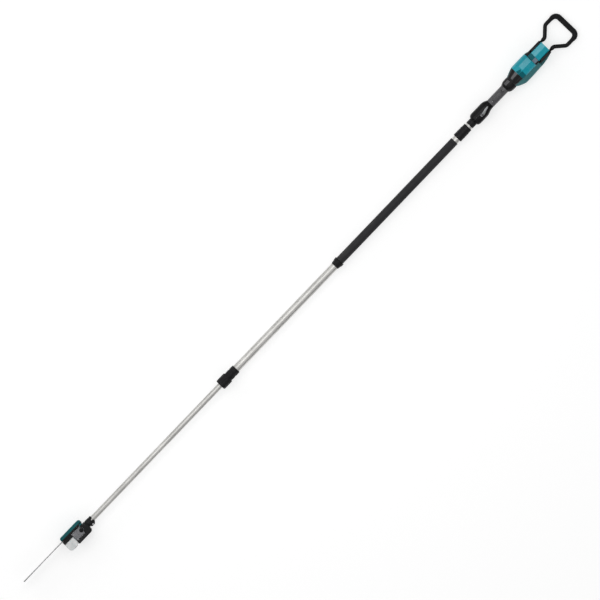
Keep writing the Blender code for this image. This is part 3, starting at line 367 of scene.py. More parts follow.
def coats():
    """Every finish of the tool, under the name of its material slot or of its own."""
    made = {}
    for name, (*look, specular, clear) in MOULDED.items():
        sockets = {} if specular is None else {"Specular_IOR_Level": specular}
        if clear is not None:
            sockets.update(Coat_Weight=clear, Coat_Roughness=0.2)
        made[name] = moulded(name, *look, **sockets)
    for name, look in BRUSHED.items():
        made[name] = brushed(name, *look)
    cast = Coat("cast_metal", linear(116, 116, 119), 0.48, 0.55)
    cast.grain(420, 0.14, detail=4).grain(90, 0.2)
    cast.streaks(75, (1, 1, 1), linear(62, 62, 66), 0.6).worn(linear(158, 158, 160), 0.7)
    made["cast_metal"] = cast.done(0.1)
    rubber = Coat("rubber", linear(26, 26, 28), 0.7)
    rubber.cells(750, 0.10).grain(90, 0.1)
    rubber.streaks(38, (0.25, 1, 1), linear(58, 57, 56), 0.35).worn(linear(70, 70, 72), 0.35)
    made["rubber"] = rubber.done(0.06, Specular_IOR_Level=0.2)
    sleeve = Coat("sleeve_rubber", linear(40, 40, 42), 0.6)
    sleeve.cells(600, 0.16, (0.7, 1, 1)).grain(60, 0.12)
    sleeve.streaks(16, (0.2, 1, 1), linear(78, 77, 76), 0.4)
    sleeve.streaks(230, (0.6, 1, 1), linear(34, 34, 36), 0.5)
    made["sleeve_rubber"] = sleeve.done(0.06, Specular_IOR_Level=0.3)
    tank = Coat("tank_plastic", linear(236, 238, 238), 0.34)
    tank.grain(260, 0.03).grain(45, 0.15)
    tank.streaks(26, (1, 1, 0.3), linear(196, 202, 202), 0.5)
    made["tank_plastic"] = tank.done(0.05, Subsurface_Weight=0.35, Subsurface_Radius=(0.01, 0.012, 0.012),
                                     Transmission_Weight=0.12)
    copper = Coat("motor_copper", linear(176, 112, 66), 0.4, 0.8)
    copper.grain(800, 0.2, (0.05, 1, 1)).streaks(300, (0.05, 1, 1), linear(110, 60, 30), 0.6)
    made["motor_copper"] = copper.done(0.08)
    lens = Coat("lamp_lens", linear(120, 170, 110), 0.2)
    lens.grain(700, 0.03)
    made["lamp_lens"] = lens.done(0.05, Transmission_Weight=0.2)
    return made


# ---------------------------------------------------------------- forms, as bmesh in the pole's frame


def skin(form, loops, ring=False):
    """Joins loops of equal length into one closed skin. A loop of one point is a pole of the skin."""
    rows = [[form.verts.new(point) for point in loop] for loop in loops]
    pairs = list(zip(rows, rows[1:] + rows[:1])) if ring else list(zip(rows, rows[1:]))
    for a, b in pairs:
        for i in range(max(len(a), len(b))):
            corners = [a[i % len(a)], a[(i + 1) % len(a)], b[(i + 1) % len(b)], b[i % len(b)]]
            corners = list(dict.fromkeys(corners))
            if len(corners) > 2:
                form.faces.new(corners)
    if not ring:
        for row in (rows[0], rows[-1]):
            if len(row) > 2:
                form.faces.new(row)
    return form


def softened(profile, radius, closed, steps=3):
    """A profile with an arc at each corner, no larger than its neighbours leave room for."""
    points = [Vector(p) for p in profile]
    count = len(points)
    made = []
    for i, here in enumerate(points):
        if not closed and i in (0, count - 1):
            made.append(here)
            continue
        before = points[i - 1]
        after = points[(i + 1) % count]
        a = before - here
        b = after - here
        cut = min(radius, 0.45 * a.length, 0.45 * b.length)
        start = here + a.normalized() * cut
        end = here + b.normalized() * cut
        for k in range(steps + 1):
            t = k / steps
            made.append(start * (1 - t) ** 2 + here * 2 * t * (1 - t) + end * t * t)
    return made


TURNS = {
    "X": Matrix(((0, 0, 1), (1, 0, 0), (0, 1, 0))).to_4x4(),
    "Y": Matrix(((0, 1, 0), (0, 0, 1), (1, 0, 0))).to_4x4(),
    "-Y": Matrix(((0, -1, 0), (0, 0, -1), (1, 0, 0))).to_4x4(),
    "Z": Matrix.Identity(4),
}
OUTWARD = {1: "Y", -1: "-Y"}


def lathe(profile, bore=(), at=(0, 0, 0), axis="X", steps=96, soft=0.6, wave=None, form=None):
    """A turned form: outer and bore list (distance along the axis, radius), each from the low end up.

    wave(along, angle) gives a depth that is taken off the outer side, for flutes and ribs.
    """
    form = form or bmesh.new()
    closed = bool(bore)
    bore_r = max((radius for along, radius in bore), default=0) + 0.05
    outline = softened(list(profile) + list(reversed(bore)), soft, closed)
    turn = Matrix.Translation(at) @ (TURNS[axis] if isinstance(axis, str) else axis)
    loops = []
    for along, radius in outline:
        if radius < 1e-4:
            loops.append([turn @ Vector((0, 0, along))])
            continue
        waved = wave and radius > bore_r
        loops.append(ring_at(turn, along, steps, lambda a: radius - (wave(along, a) if waved else 0)))
    return skin(form, loops, ring=closed)


def ring_at(turn, level, steps, radius_at):
    """A turned ring of points at a level of its axis; radius_at(angle) gives their distance from it."""
    angles = [tau * i / steps for i in range(steps)]
    return [turn @ Vector((radius_at(a) * cos(a), radius_at(a) * sin(a), level)) for a in angles]


def rod(low, high, radius, **how):
    """A plain round form for a bore, a pin or a boss."""
    return lathe([(low, 0), (low, radius), (high, radius), (high, 0)], **how)


def swept(points, radius_at, sides=24, closed=False):
    """A round bar along points; radius_at(i, travelled) gives its radius. Open ends are domed."""
    points = [Vector(p) for p in points]
    count = len(points)
    travelled = [0.0]
    for a, b in zip(points, points[1:]):
        travelled.append(travelled[-1] + (b - a).length)
    tangents = []
    for i in range(count):
        before = points[i - 1] if i or closed else points[0]
        after = points[(i + 1) % count] if i + 1 < count or closed else points[-1]
        tangents.append((after - before).normalized())
    normal = tangents[0].orthogonal().normalized()
    rings = []
    for i, (point, tangent) in enumerate(zip(points, tangents)):
        normal = (normal - tangent * normal.dot(tangent)).normalized()
        rings.append((point, tangent, normal.copy(), radius_at(i, travelled[i])))
    if not closed:
        rings = domed(rings)
    loops = []
    for point, tangent, up, radius in rings:
        side = tangent.cross(up)
        loops.append([point + (up * cos(tau * k / sides) + side * sin(tau * k / sides)) * radius
                      for k in range(sides)])
    return skin(bmesh.new(), loops, ring=closed)


def domed(rings):
    """The rings (point, tangent, normal, radius) of a bar, with a low dome at each end."""

    def moved(ring, shift, share):
        point, tangent, up, radius = ring
        return point + tangent * radius * shift, tangent, up, radius * share

    first, last = rings[0], rings[-1]
    front = [moved(first, 0.3 * depth, share) for depth, share in (*DOME, (1, 1))]
    back = [moved(last, -0.3 * depth, share) for depth, share in ((1, 1), *reversed(DOME))]
    return front + rings[1:-1] + back


# How far in each ring of a dome lies, and its share of the bar's radius.
DOME = ((0.0, 0.55), (0.12, 0.8), (0.3, 0.94))


def plate(outline, low, high, facing, at=(0, 0, 0), holes=(), form=None):
    """A flat form cut to an outline in its own plane, between two levels along the facing direction."""
    curve = bpy.data.curves.new("plate", "CURVE")
    curve.dimensions = "2D"
    curve.fill_mode = "BOTH"
    curve.extrude = (high - low) / 2
    for loop in (outline, *holes):
        spline = curve.splines.new("POLY")
        spline.points.add(len(loop) - 1)
        for point, (u, v) in zip(spline.points, loop):
            point.co = (u, v, 0, 1)
        spline.use_cyclic_u = True
    obj = bpy.data.objects.new("plate", curve)
    SCENE.collection.objects.link(obj)
    mesh = bpy.data.meshes.new_from_object(obj.evaluated_get(bpy.context.evaluated_depsgraph_get()))
    bpy.data.objects.remove(obj)
    bpy.data.curves.remove(curve)
    piece = bmesh.new()
    piece.from_mesh(mesh)
    bpy.data.meshes.remove(mesh)
    bmesh.ops.remove_doubles(piece, verts=piece.verts, dist=0.001)
    bmesh.ops.dissolve_limit(piece, angle_limit=radians(0.5), verts=piece.verts, edges=piece.edges)
    turn = PLANES[facing]
    piece.transform(Matrix.Translation(at) @ turn @ Matrix.Translation((0, 0, (low + high) / 2)))
    return merged(form, piece)


# Each facing's matrix takes a plane's (u, v, level) to the pole's frame.
PLANES = {
    "X": Matrix(((0, 0, 1), (1, 0, 0), (0, 1, 0))).to_4x4(),
    "Y": Matrix(((1, 0, 0), (0, 0, 1), (0, 1, 0))).to_4x4(),
    "Z": Matrix.Identity(4),
}


def merged(form, piece):
    """Adds a piece's closed body to a form, or starts the form with it."""
    bmesh.ops.recalc_face_normals(piece, faces=piece.faces)
    if form is None:
        return piece
    mesh = bpy.data.meshes.new("merged")
    piece.to_mesh(mesh)
    piece.free()
    form.from_mesh(mesh)
    bpy.data.meshes.remove(mesh)
    return form


def block(low, high, form=None):
    piece = bmesh.new()
    low, high = Vector(low), Vector(high)
    size = Matrix.Diagonal((*(high - low), 1))
    bmesh.ops.create_cube(piece, size=1, matrix=Matrix.Translation((low + high) / 2) @ size)
    return merged(form, piece)


def smoothed(sections, step):
    """Sections (station, path) filled in along the pole by a curve that never overshoots them."""
    stations = np.array([s for s, path in sections], float)
    paths = np.array([path for s, path in sections], float)
    slopes = np.diff(paths, axis=0) / np.diff(stations)[:, None, None]
    tangents = np.zeros_like(paths)
    for i in range(1, len(stations) - 1):
        a, b = slopes[i - 1], slopes[i]
        agree = a * b > 0
        tangents[i] = np.where(agree, 2 * a * b / np.where(agree, a + b, 1), 0)
    tangents[0], tangents[-1] = slopes[0], slopes[-1]
    made = []
    for i in range(len(stations) - 1):
        length = stations[i + 1] - stations[i]
        count = max(1, round(length / step))
        for k in range(count):
            t = k / count
            h = (2 * t**3 - 3 * t**2 + 1, t**3 - 2 * t**2 + t, -2 * t**3 + 3 * t**2, t**3 - t**2)
            path = h[0] * paths[i] + h[1] * length * tangents[i]
            path = path + h[2] * paths[i + 1] + h[3] * length * tangents[i + 1]
            made.append((float(stations[i] + t * length), [tuple(p) for p in path]))
    made.append((float(stations[-1]), [tuple(p) for p in paths[-1]]))
    return made


def inset(path, depth, closed):
    """A section path moved inwards; an open path keeps its ends on their parting plane."""
    count = len(path)
    moved = []
    for i, here in enumerate(path):
        before = path[i - 1] if i or closed else here
        after = path[(i + 1) % count] if i + 1 < count or closed else here
        if not closed and i in (0, count - 1):
            level = abs(here[0]) > 1
            moved.append((here[0] - copysign(depth, here[0]), here[1]) if level
                         else (here[0], here[1] - copysign(depth, here[1])))
            continue
        step = Vector((after[0] - before[0], after[1] - before[1]))
        normal = Vector((-step.y, step.x)).normalized()
        moved.append((here[0] + normal.x * depth, here[1] + normal.y * depth))
    return moved


def shell(sections, wall, closed=False):
    """A shell along the pole from sections (station, path of (y, z)), anticlockwise seen from the front."""
    form = bmesh.new()
    outer = [[Vector((s, *p)) for p in path] for s, path in sections]
    inner = [[Vector((s, *p)) for p in inset(path, wall, closed)] for s, path in sections]
    if closed:
        return skin(form, outer + inner[::-1], ring=True)
    rows = [[form.verts.new(p) for p in a + b[::-1]] for a, b in zip(outer, inner)]
    count = len(rows[0])
    for a, b in zip(rows, rows[1:]):
        for i in range(count):
            j = (i + 1) % count
            form.faces.new((a[i], a[j], b[j], b[i]))
    for row in (rows[0], rows[-1]):
        for i in range(count // 2 - 1):
            form.faces.new((row[i], row[i + 1], row[count - 2 - i], row[count - 1 - i]))
    return form


def oval(sizes, start=-90.0, end=270.0, steps=72, power=2.4, rib=None):
    """A superellipse path by its reach right, left, up and down; rib(angle) is added to its radius."""
    right, left, top, bottom = sizes
    closed = end - start >= 360
    points = []
    for i in range(steps if closed else steps + 1):
        angle = radians(start + (end - start) * i / steps)
        y = abs(cos(angle)) ** (2 / power) * (left if cos(angle) > 0 else -right)
        z = abs(sin(angle)) ** (2 / power) * (top if sin(angle) > 0 else -bottom)
        grow = 1 + rib(degrees(angle)) / hypot(y, z) if rib else 1
        points.append((y * grow, z * grow))
    return points


def circle(radius, centre=(0, 0), steps=32, start=0.0, turn=tau):
    count = steps if turn == tau else steps + 1
    angles = [start + turn * i / steps for i in range(count)]
    return [(centre[0] + radius * cos(a), centre[1] + radius * sin(a)) for a in angles]


def rounded_path(path, radius, steps=4, closed=False):
    return [tuple(p) for p in softened(path, radius, closed, steps)]


# ---------------------------------------------------------------- pieces

FINISH = {}
SIDES = ((1, "left"), (-1, "right"))


def settled(name, form, cutters=(), edge=0.0, edge_angle=35, segments=3, sharp=40):
    """The finished mesh of a form: cut, its edges rounded, and moved to the row frame."""
    bmesh.ops.recalc_face_normals(form, faces=form.faces)
    mesh = bpy.data.meshes.new(name)
    form.to_mesh(mesh)
    form.free()
    obj = bpy.data.objects.new(name, mesh)
    SCENE.collection.objects.link(obj)
    helpers = []
    if edge:
        bevel = obj.modifiers.new("edges", "BEVEL")
        bevel.width = edge
        bevel.segments = segments
        bevel.limit_method = "ANGLE"
        bevel.angle_limit = radians(edge_angle)
    for cutter in cutters:
        bmesh.ops.recalc_face_normals(cutter, faces=cutter.faces)
        cutter_mesh = bpy.data.meshes.new("cutter")
        cutter.to_mesh(cutter_mesh)
        cutter.free()
        helper = bpy.data.objects.new("cutter", cutter_mesh)
        SCENE.collection.objects.link(helper)
        helpers.append(helper)
        boolean = obj.modifiers.new("cut", "BOOLEAN")
        boolean.operation = "DIFFERENCE"
        boolean.object = helper
    applied(obj)
    for helper in helpers:
        bpy.data.objects.remove(helper)
    obj.data.transform(POLE)
    obj.data.shade_smooth()
    obj.data.set_sharp_from_angle(angle=radians(sharp))
    if edge:
        obj.modifiers.new("flat_faces_stay_flat", "WEIGHTED_NORMAL").keep_sharp = True
        applied(obj)
    return obj


def applied(obj):
    """Turns an object's modifiers into its mesh."""
    if obj.modifiers:
        graph = bpy.context.evaluated_depsgraph_get()
        made = bpy.data.meshes.new_from_object(obj.evaluated_get(graph))
        made.name = obj.name
        obj.modifiers.clear()
        obj.data = made


def add(name, body, slot, form, coat=None, **how):
    """A new visible piece on a body, in the finish of a material slot."""
    obj = settled(name, form, **how)
    obj.data.materials.clear()
    obj.data.materials.append(FINISH[coat or slot])
    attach(obj, body)
    return obj


def swap(node, form, coat=None, **how):
    """A fine piece in the place of a CAD node, on its body, in its slot's finish unless another coat is
    given.
    """
    body = frame["nodes"][node]["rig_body"]
    obj = add(f"{node}_fine", body, SLOT_OF[node], form, coat, **how)
    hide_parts(node)
    return obj


def repaint(obj, coat, chosen):
    """Gives another finish to the faces whose centre, in the pole's frame, is chosen."""
    obj.data.materials.append(FINISH[coat])
    index = len(obj.data.materials) - 1
    inverse = POLE.inverted()
    for face in obj.data.polygons:
        if chosen(inverse @ face.center):
            face.material_index = index


def screw(form, at, axis, radius=2.6, proud=0.9):
    """A pan-head screw with a six-lobed socket, standing on its surface at a point."""
    profile = [(-1.2, 0), (-1.2, radius * 0.9), (0, radius), (proud * 0.55, radius * 0.97),
               (proud, radius * 0.7)]
    turn = Matrix.Translation(at) @ TURNS[axis]
    loops = [[turn @ Vector((0, 0, -1.2))]]
    for along, r in softened(profile, 0.35, False)[1:]:
        loops.append(ring_at(turn, along, 36, lambda a: r))
    for level, share in ((proud, 0.42), (proud - 1.1, 0.42 * 0.92)):
        loops.append(ring_at(turn, level, 36, lambda a: radius * share * (1 - 0.11 * (1 - cos(6 * a)))))
    loops.append([turn @ Vector((0, 0, proud - 1.2))])
    skin(form, loops)


# ---------------------------------------------------------------- guard loop and battery section

# The guard loop: radii of its parts, where its legs lie, and the stations where its path or its
# thickness changes.
LOOP_R = 9.5
LEG_R = 5.0
LEG_Y = 29.0
LEG_Z = -37.0
BUMPER_R = 13.5
BUMPER_WALL = 1.3
LEGS_END = 226
NECK_BEND = 129
ARM_BEND = 84
LOOP_THINS = 154
LOOP_TAPER = 14
BUMPER_END = 46
ARM_Y = reach("guard_loop")[1].y - LOOP_R


def filleted(corners, steps=12):
    """A path through corners (x, y, fillet radius), with an arc at each inner corner."""
    points = [corners[0][:2]]
    for before, here, after in zip(corners, corners[1:], corners[2:]):
        corner = Vector(here[:2])
        to_before = (Vector(before[:2]) - corner).normalized()
        to_after = (Vector(after[:2]) - corner).normalized()
        half = to_before.angle(to_after) / 2
        centre = corner + (to_before + to_after).normalized() * here[2] / sin(half)
        start = corner + to_before * here[2] * cos(half) / sin(half) - centre
        end = corner + to_after * here[2] * cos(half) / sin(half) - centre
        total = start.angle_signed(end)
        points += [tuple(centre + Matrix.Rotation(-total * i / steps, 2) @ start) for i in range(steps + 1)]
    points.append(corners[-1][:2])
    return points


def dense(points, step):
    """The same path with points no further apart than step."""
    made = []
    for a, b in zip(points, points[1:]):
        a, b = Vector(a), Vector(b)
        count = max(1, round((b - a).length / step))
        made += [a.lerp(b, k / count) for k in range(count)]
    return made + [Vector(points[-1])]


def loop_path():
    crossbar = BUMPER_R
    half = [(LEGS_END, LEG_Y, 0), (NECK_BEND, LEG_Y, 18), (ARM_BEND, ARM_Y, 20), (crossbar, ARM_Y, 25)]
    corners = half + [(x, -y, r) for x, y, r in reversed(half)]
    points = []
    for x, y in filleted(corners):
        slope = min(max((NECK_BEND - x) / (NECK_BEND - crossbar), 0), 1)
        points.append((x, y, LEG_Z + (BUMPER_R - AXIS_Z / MM - LEG_Z) * slope))
    return points


def share_of(value, low, high):
    """A smooth step from 0 to 1 while the value goes from low to high."""
    t = min(max((value - low) / (high - low), 0), 1)
    return t * t * (3 - 2 * t)


def guard_loop():
    path = dense(loop_path(), 3)

    def thickness(i, travelled):
        return LEG_R + (LOOP_R - LEG_R) * share_of(LOOP_THINS - path[i].x, 0, LOOP_TAPER)

    swap("guard_loop", swept(path, thickness), "glossy_black")
    jacket = [p for p in dense(loop_path(), 1.0) if p.x < BUMPER_END]
    thin = LOOP_R + BUMPER_WALL

    def radius(i, travelled):
        """Ring ribs round the crossbar and a smooth wrap on the arms."""
        thick = share_of(BUMPER_END + 2 - jacket[i].x, 0, 35)
        rib = 0.55 * thick * (0.5 - 0.5 * cos(tau * travelled / 7.5))
        return thin + (BUMPER_R - thin) * thick - rib

    swap("loop_bumper", swept(jacket, radius, 28))
    clamps = bmesh.new()
    for side in (1, -1):
        lathe([(151, LEG_R + 0.1), (152.5, LEG_R + 2.4), (157.5, LEG_R + 2.4), (159, LEG_R + 0.1)],
              at=(0, side * LEG_Y, LEG_Z), steps=40, soft=0.5, form=clamps)
    add("loop_leg_collars", "handle", "black_plastic", clamps)


CAP_HALF = 27


def cap_outline(half, foot, inner=0.0):
    """The cap's outline: level on its right half and sloping on its left."""
    w = half - inner
    path = [(w, foot), (w, 31 - inner / 2), (w - 4, 37 - inner), (0, 44 - inner)]
    path += [(3 - w, 43.5 - inner), (-w, 39 - inner / 2), (-w, foot)]
    return path


def rear_cap():
    low, high = span("rear_cap")
    bottom = reach("rear_cap")[0].z
    form = plate(cap_outline(CAP_HALF, bottom), low, high, "X")
    hollow = plate(cap_outline(CAP_HALF, bottom - 4, 3), low + 3, high + 5, "X")
    cap = swap("rear_cap", form, cutters=[hollow], edge=1.2, edge_angle=8, segments=3, sharp=60)
    # Painted highlight: the level right half of the cap's top is painted a lighter teal.
    repaint(cap, "teal_painted_highlight", lambda p: p.z > 42.5 and p.y < -0.3)
    screws = bmesh.new()
    for side in (1, -1):
        for x in (low + 12, high - 12):
            screw(screws, (x, side * CAP_HALF, 22), OUTWARD[side], 2.4, 0.7)
    add("cap_screws", "handle", "steel", screws, "turned_steel")


def battery_frame():
    low, high = reach("battery_frame")
    form = block(low, high)
    bay = block((low.x + 4, -19, low.z + 3), (high.x + 6, 19, high.z - 3))
    windows = []
    for k in range(3):
        z = low.z + 10 + 16 * k
        windows.append(block((low.x - 3, -14, z), (low.x + 8, 14, z + 7)))
    swap("battery_frame", form, cutters=[bay, *windows], edge=1.2)


def battery_rails():
    low_x, high_x = span("battery_rail_left")
    middle = (low_x + high_x) / 2
    stem, head, root, step, face = 26, 34, 27.3, 34.3, 40
    for side, name in SIDES:
        low, high = reach(f"battery_rail_{name}")
        outline = [(-stem, root), (stem, root), (stem, step), (head, step), (head, face)]
        outline += [(-head, face), (-head, step), (-stem, step)]
        outline = [(u, side * v) for u, v in outline]
        rail = plate(rounded_path(outline, 1.2, 2, True), low.z, high.z, "Z", (middle, 0, 0))
        y = sorted((side * 36, side * 44))
        pocket = block((middle - 20, y[0], -12), (middle + 20, y[1], 26))
        y = sorted((side * 38.6, side * 42))
        notches = [block((middle + dx - 3, y[0], -24), (middle + dx + 3, y[1], -17)) for dx in (-12, 12)]
        swap(f"battery_rail_{name}", rail, cutters=[pocket, *notches], edge=0.7, segments=2)
        terminal_block(side, name, middle)


def terminal_block(side, name, middle):
    """The contact block: a moulded comb with two rows of bright blades."""
    low, high = reach(f"terminal_block_{name}")
    form = block(low, high)
    slots = []
    blades = bmesh.new()
    face = side * max(abs(low.y), abs(high.y))
    for k in range(4):
        x = middle - 12 + 8 * k
        y = sorted((face - side * 2.6, face + side * 2))
        slots.append(block((x - 1.6, y[0], low.z + 4), (x + 1.6, y[1], high.z + 2)))
        y = sorted((face - side * 2.7, face - side * 0.3))
        block((x - 0.45, y[0], low.z + 5), (x + 0.45, y[1], high.z - 2), blades)
    swap(f"terminal_block_{name}", form, cutters=slots, edge=0.5, segments=2)
    add(f"contact_blades_{name}", "handle", "steel", blades, "contact", edge=0.15, segments=2)


# ---------------------------------------------------------------- motor housing

# How far each moulded half ends from the parting plane.
PARTING = 0.15
# Stations of the motor housing: its rear shelf, the shoulder and the taper to the collar.
SHELF_REAR = 157
SHELF_END = 231
SHOULDER = 332
TAPER_MIDDLE = 358
TAPER_END = 383.7
# Each half at its stations: width, lip, top and depth.
LEFT_SIZES = ((SHELF_REAR, 39, 36, -30, 56), (195, 48, 36, -30, 56), (SHELF_END, 52, 36, -30, 56),
              (SHELF_END + 1, 52, 30.5, 15, 56), (300, 54, 30.5, 15, 56), (SHOULDER, 54, 30.5, 15, 54),
              (TAPER_MIDDLE, 46, 29, 13, 48), (TAPER_END, 32, 26, 8, 39))
RIGHT_SIZES = ((SHELF_REAR, 39, 36, -30, 56), (195, 40, 36, -30, 56), (SHELF_END, 41, 36, -30, 56),
               (SHELF_END + 1, 42, 40, 15, 56), (255, 46, 46, 15, 56), (SHOULDER, 46, 46, 15, 54),
               (TAPER_MIDDLE, 39, 38.5, 13, 48), (TAPER_END, 29, 28, 8, 39))
# The screws in each flank, as (x, z), and the row of vents.
HOUSING_SCREWS = ((236, -36), (262, -14), (345, -30))
VENTS = 6
FIRST_VENT = 274
VENT_PITCH = 9


def half_path(width, lip, top, depth, side):
    """One clamshell half's outline, from its keel round the flank to its upper lip."""
    knee = min(-0.1 * depth, top - 4)
    corner, flank = (0.93, 0.76) if top < 0 else (0.84, 0.55)
    keel = [(PARTING, -depth), (0.55 * width, -depth), (0.86 * width, -corner * depth)]
    path = rounded_path(keel + [(width, -flank * depth), (width, knee), (lip, top)], 9, 5)
    return path if side > 0 else [(-y, z) for y, z in reversed(path)]


def sizes_at(sizes, along):
    """The sizes at a station, in between those that are listed."""
    for low, high in zip(sizes, sizes[1:]):
        if low[0] <= along <= high[0]:
            share = (along - low[0]) / (high[0] - low[0])
            return [a + (b - a) * share for a, b in zip(low[1:], high[1:])]
    raise ValueError(along)


def housing_halves():
    screws = bmesh.new()
    for (side, name), sizes in zip(SIDES, (LEFT_SIZES, RIGHT_SIZES)):
        sections = [(s, half_path(*size, side)) for s, *size in sizes]
        form = shell(smoothed(sections, 5), 2.6)
        cutters = []
        for vent in range(VENTS):
            y = sorted((side * 36, side * 60))
            cutters.append(vent_slot(FIRST_VENT + VENT_PITCH * vent, y, -26, -8, 3.6))
        facing = OUTWARD[side]
        for along, z in HOUSING_SCREWS:
            y = sizes_at(sizes, along)[0]
            cutters.append(rod(-3, 6, 4.2, at=(along, side * y, z), axis=facing, steps=32, soft=0.2))
            screw(screws, (along, side * (y - 2.4), z), facing, 3.3, 1.1)
            rod(-6, -2.4, 4.1, at=(along, side * y, z), axis=facing, steps=24, soft=0.1, form=screws)
        # The left half takes its slot's finish, a darker and greyer teal that is painted shade on that
        # flank.
        swap(f"housing_{name}", form, cutters=cutters, sharp=32)
    add("housing_screws", "handle", "steel", screws, "turned_steel")
    vent_grille()


def vent_slot(x, y, low_z, high_z, width):
    """An upright slot through the flank, with round ends."""
    half = width / 2
    outline = circle(half, (x, high_z - half), 8, 0, pi) + circle(half, (x, low_z + half), 8, pi, pi)
    return plate(outline, y[0], y[1], "Y")


def vent_grille():
    """The dark mesh behind the vents."""
    form = bmesh.new()
    for side, width in ((1, 54), (-1, 46)):
        inner = side * (width - 5.2)
        y = sorted((inner, inner + side * 0.8))
        for k in range(14):
            x = 271 + 4.1 * k
            block((x, y[0], -29), (x + 0.9, y[1], -6), form)
        for k in range(5):
            z = -27.5 + 4.6 * k
            block((270, y[0] + 0.1, z), (326, y[1] - 0.1, z + 0.8), form)
    add("vent_grilles", "handle", "black_plastic", form)


def cover_path(points, foot):
    """A section of the top cover: points (y, z) from its left side over the ridge to its right."""
    path = [(points[0][0] + 1, foot), *points, (points[-1][0] - 1, foot)]
    return rounded_path(path, 1.8, 3)


def between(first, second, share):
    """The section that lies a share of the way from one section to another."""
    return [(a[0] + (b[0] - a[0]) * share, a[1] + (b[1] - a[1]) * share) for a, b in zip(first, second)]


COVER_STEP = 251
BROW_EDGE = 312
# The top cover's sections (y, z), from its left side over the ridge to its right.
NOTCH = ((29, 24), (21, 30), (1, 36), (-26, 36), (-31, 31), (-38.5, 24))
STEP = ((29.3, 29), (21.3, 39), (1, 48), (-26, 48), (-37.6, 43), (-44.6, 30))
CREST = ((29.5, 31), (21.5, 41), (1, 50), (-26, 50), (-38, 44.5), (-45.7, 32))
BROW = ((29.5, 24), (20, 32), (1, 49), (-26, 49.5), (-37.7, 44), (-45.6, 31))
NOSE = ((28.5, 23), (22, 31), (0, 39.5), (-20, 40), (-35.8, 36.5), (-43.8, 26))


def top_cover():
    """The cover over the motor: a level right facet, a sloping left one, and a notch at the rear."""
    low, high = span("top_cover")
    foot = reach("top_cover")[0].z
    stations = [
        (low, NOTCH),
        (COVER_STEP - 2.2, NOTCH),
        (COVER_STEP - 1.2, between(NOTCH, STEP, 0.35)),
        (COVER_STEP, STEP),
        (COVER_STEP + 2.5, between(STEP, CREST, 0.55)),
        (COVER_STEP + 7, CREST),
        (282, CREST),
        (286, between(CREST, BROW, 0.09)),
        (BROW_EDGE - 2, between(CREST, BROW, 0.95)),
        (BROW_EDGE + 2, between(BROW, NOSE, 0.06)),
        (high - 2.5, between(BROW, NOSE, 0.93)),
        (high, between(BROW, NOSE, 1.0)),
    ]
    sections = [(s, cover_path(points, foot)) for s, points in stations]
    cover = swap("top_cover", shell(sections, 2.6), sharp=22)
    # Painted highlight: the level right facet is painted a lighter teal.
    repaint(cover, "teal_painted_highlight", lambda p: COVER_STEP + 1 < p.x < BROW_EDGE - 1 and -25.8 < p.y < 0.8)
    # Painted shade: the left of the sloping front is painted a darker teal.
    repaint(cover, "teal_painted_shade", lambda p: p.x > BROW_EDGE and p.y > 0.5)
    repaint(cover, "black_plastic", lambda p: p.x < COVER_STEP - 2 and (p.y < -27 or p.y > 21))
    repaint(cover, "notch_grey", lambda p: p.x < COVER_STEP - 2 and 1 < p.y <= 21)
    # Painted shade: the notch, right of the ridge, is painted a darker teal.
    repaint(cover, "teal_painted_shade", lambda p: p.x < COVER_STEP - 0.4 and -27 <= p.y <= 1)
    seam = bmesh.new()
    for side, y in ((1, 30.2), (-1, 46)):
        near, far = side * y - 0.3, side * y + 0.3
        block((COVER_STEP + 5, near, foot - 0.9), (SHOULDER - 1, far, foot + 0.3), seam)
    add("cover_seams", "handle", "black_plastic", seam)
    brow_painted_shade(high)


def brow_painted_shade(front):
    """A dark three-sided sheet on the cover's sloping brow: painted shade where the brow falls away from
    the light.
    """
    corners = [(BROW_EDGE, -9), (front - 1.2, -17), (front - 1.2, -0.5), (BROW_EDGE + 8, -0.5)]
    shade_sheet = plate(rounded_path(corners, 2, 4, True), 0, 1.0, "Z")
    fall = (BROW[2][1] - NOSE[2][1]) / (front - BROW_EDGE)
    for vert in shade_sheet.verts:
        vert.co.z += BROW[2][1] - 0.35 - fall * (vert.co.x - BROW_EDGE)
    add("brow_painted_shade", "handle", "teal_plastic", shade_sheet, "teal_painted_shade", edge=0.3, segments=2)


def front_housing():
    low, high = span("front_housing")

    def rib(depth):
        """Five raised ribs along the pole."""
        return lambda a: depth * exp(-(((a - 25) % 26 - 13) / 4.2) ** 2)

    sections = []
    stations = (
        (low, (43, 29, 38, 16.4), 15.4, 1.5),
        (TAPER_MIDDLE, (36, 28, 36, 14.4), 13.4, 1.5),
        (high, (27, 25, 32, 9.4), 8.4, 1.0),
    )
    for s, sizes, foot, depth in stations:
        path = oval(sizes, 20, 160, 56, 2.8, rib(depth))
        sections.append((s, [(sizes[1], foot)] + path + [(-sizes[0], foot)]))
    front = swap("front_housing", shell(smoothed(sections, 4), 2.2), sharp=50)
    widths = ((low - 1, 43), (TAPER_MIDDLE, 36), (high + 1, 27))
    # Painted highlight: a grey band on the right of the front housing.
    painted_highlight_band(front, widths, (0.13, 0.45), 24, (low - 1, 375))


def painted_highlight_band(piece, widths, shares, above, along):
    """A painted highlight: a grey band down the right flank, between two shares of its width, where the
    light glints.
    """

    def inside(p):
        share = -p.y / sizes_at(widths, p.x)[0]
        return shares[0] < share < shares[1] and p.z > above and along[0] < p.x < along[1]

    repaint(piece, "grey_plastic", inside)


# ---------------------------------------------------------------- grip, trigger and bulb


def ovals(sizes, step=4, start=-90.0, end=270.0, steps=72, rib=None):
    sections = [(s, oval(size, start, end, steps, 2.4, rib)) for s, *size in sizes]
    return smoothed(sections, step)


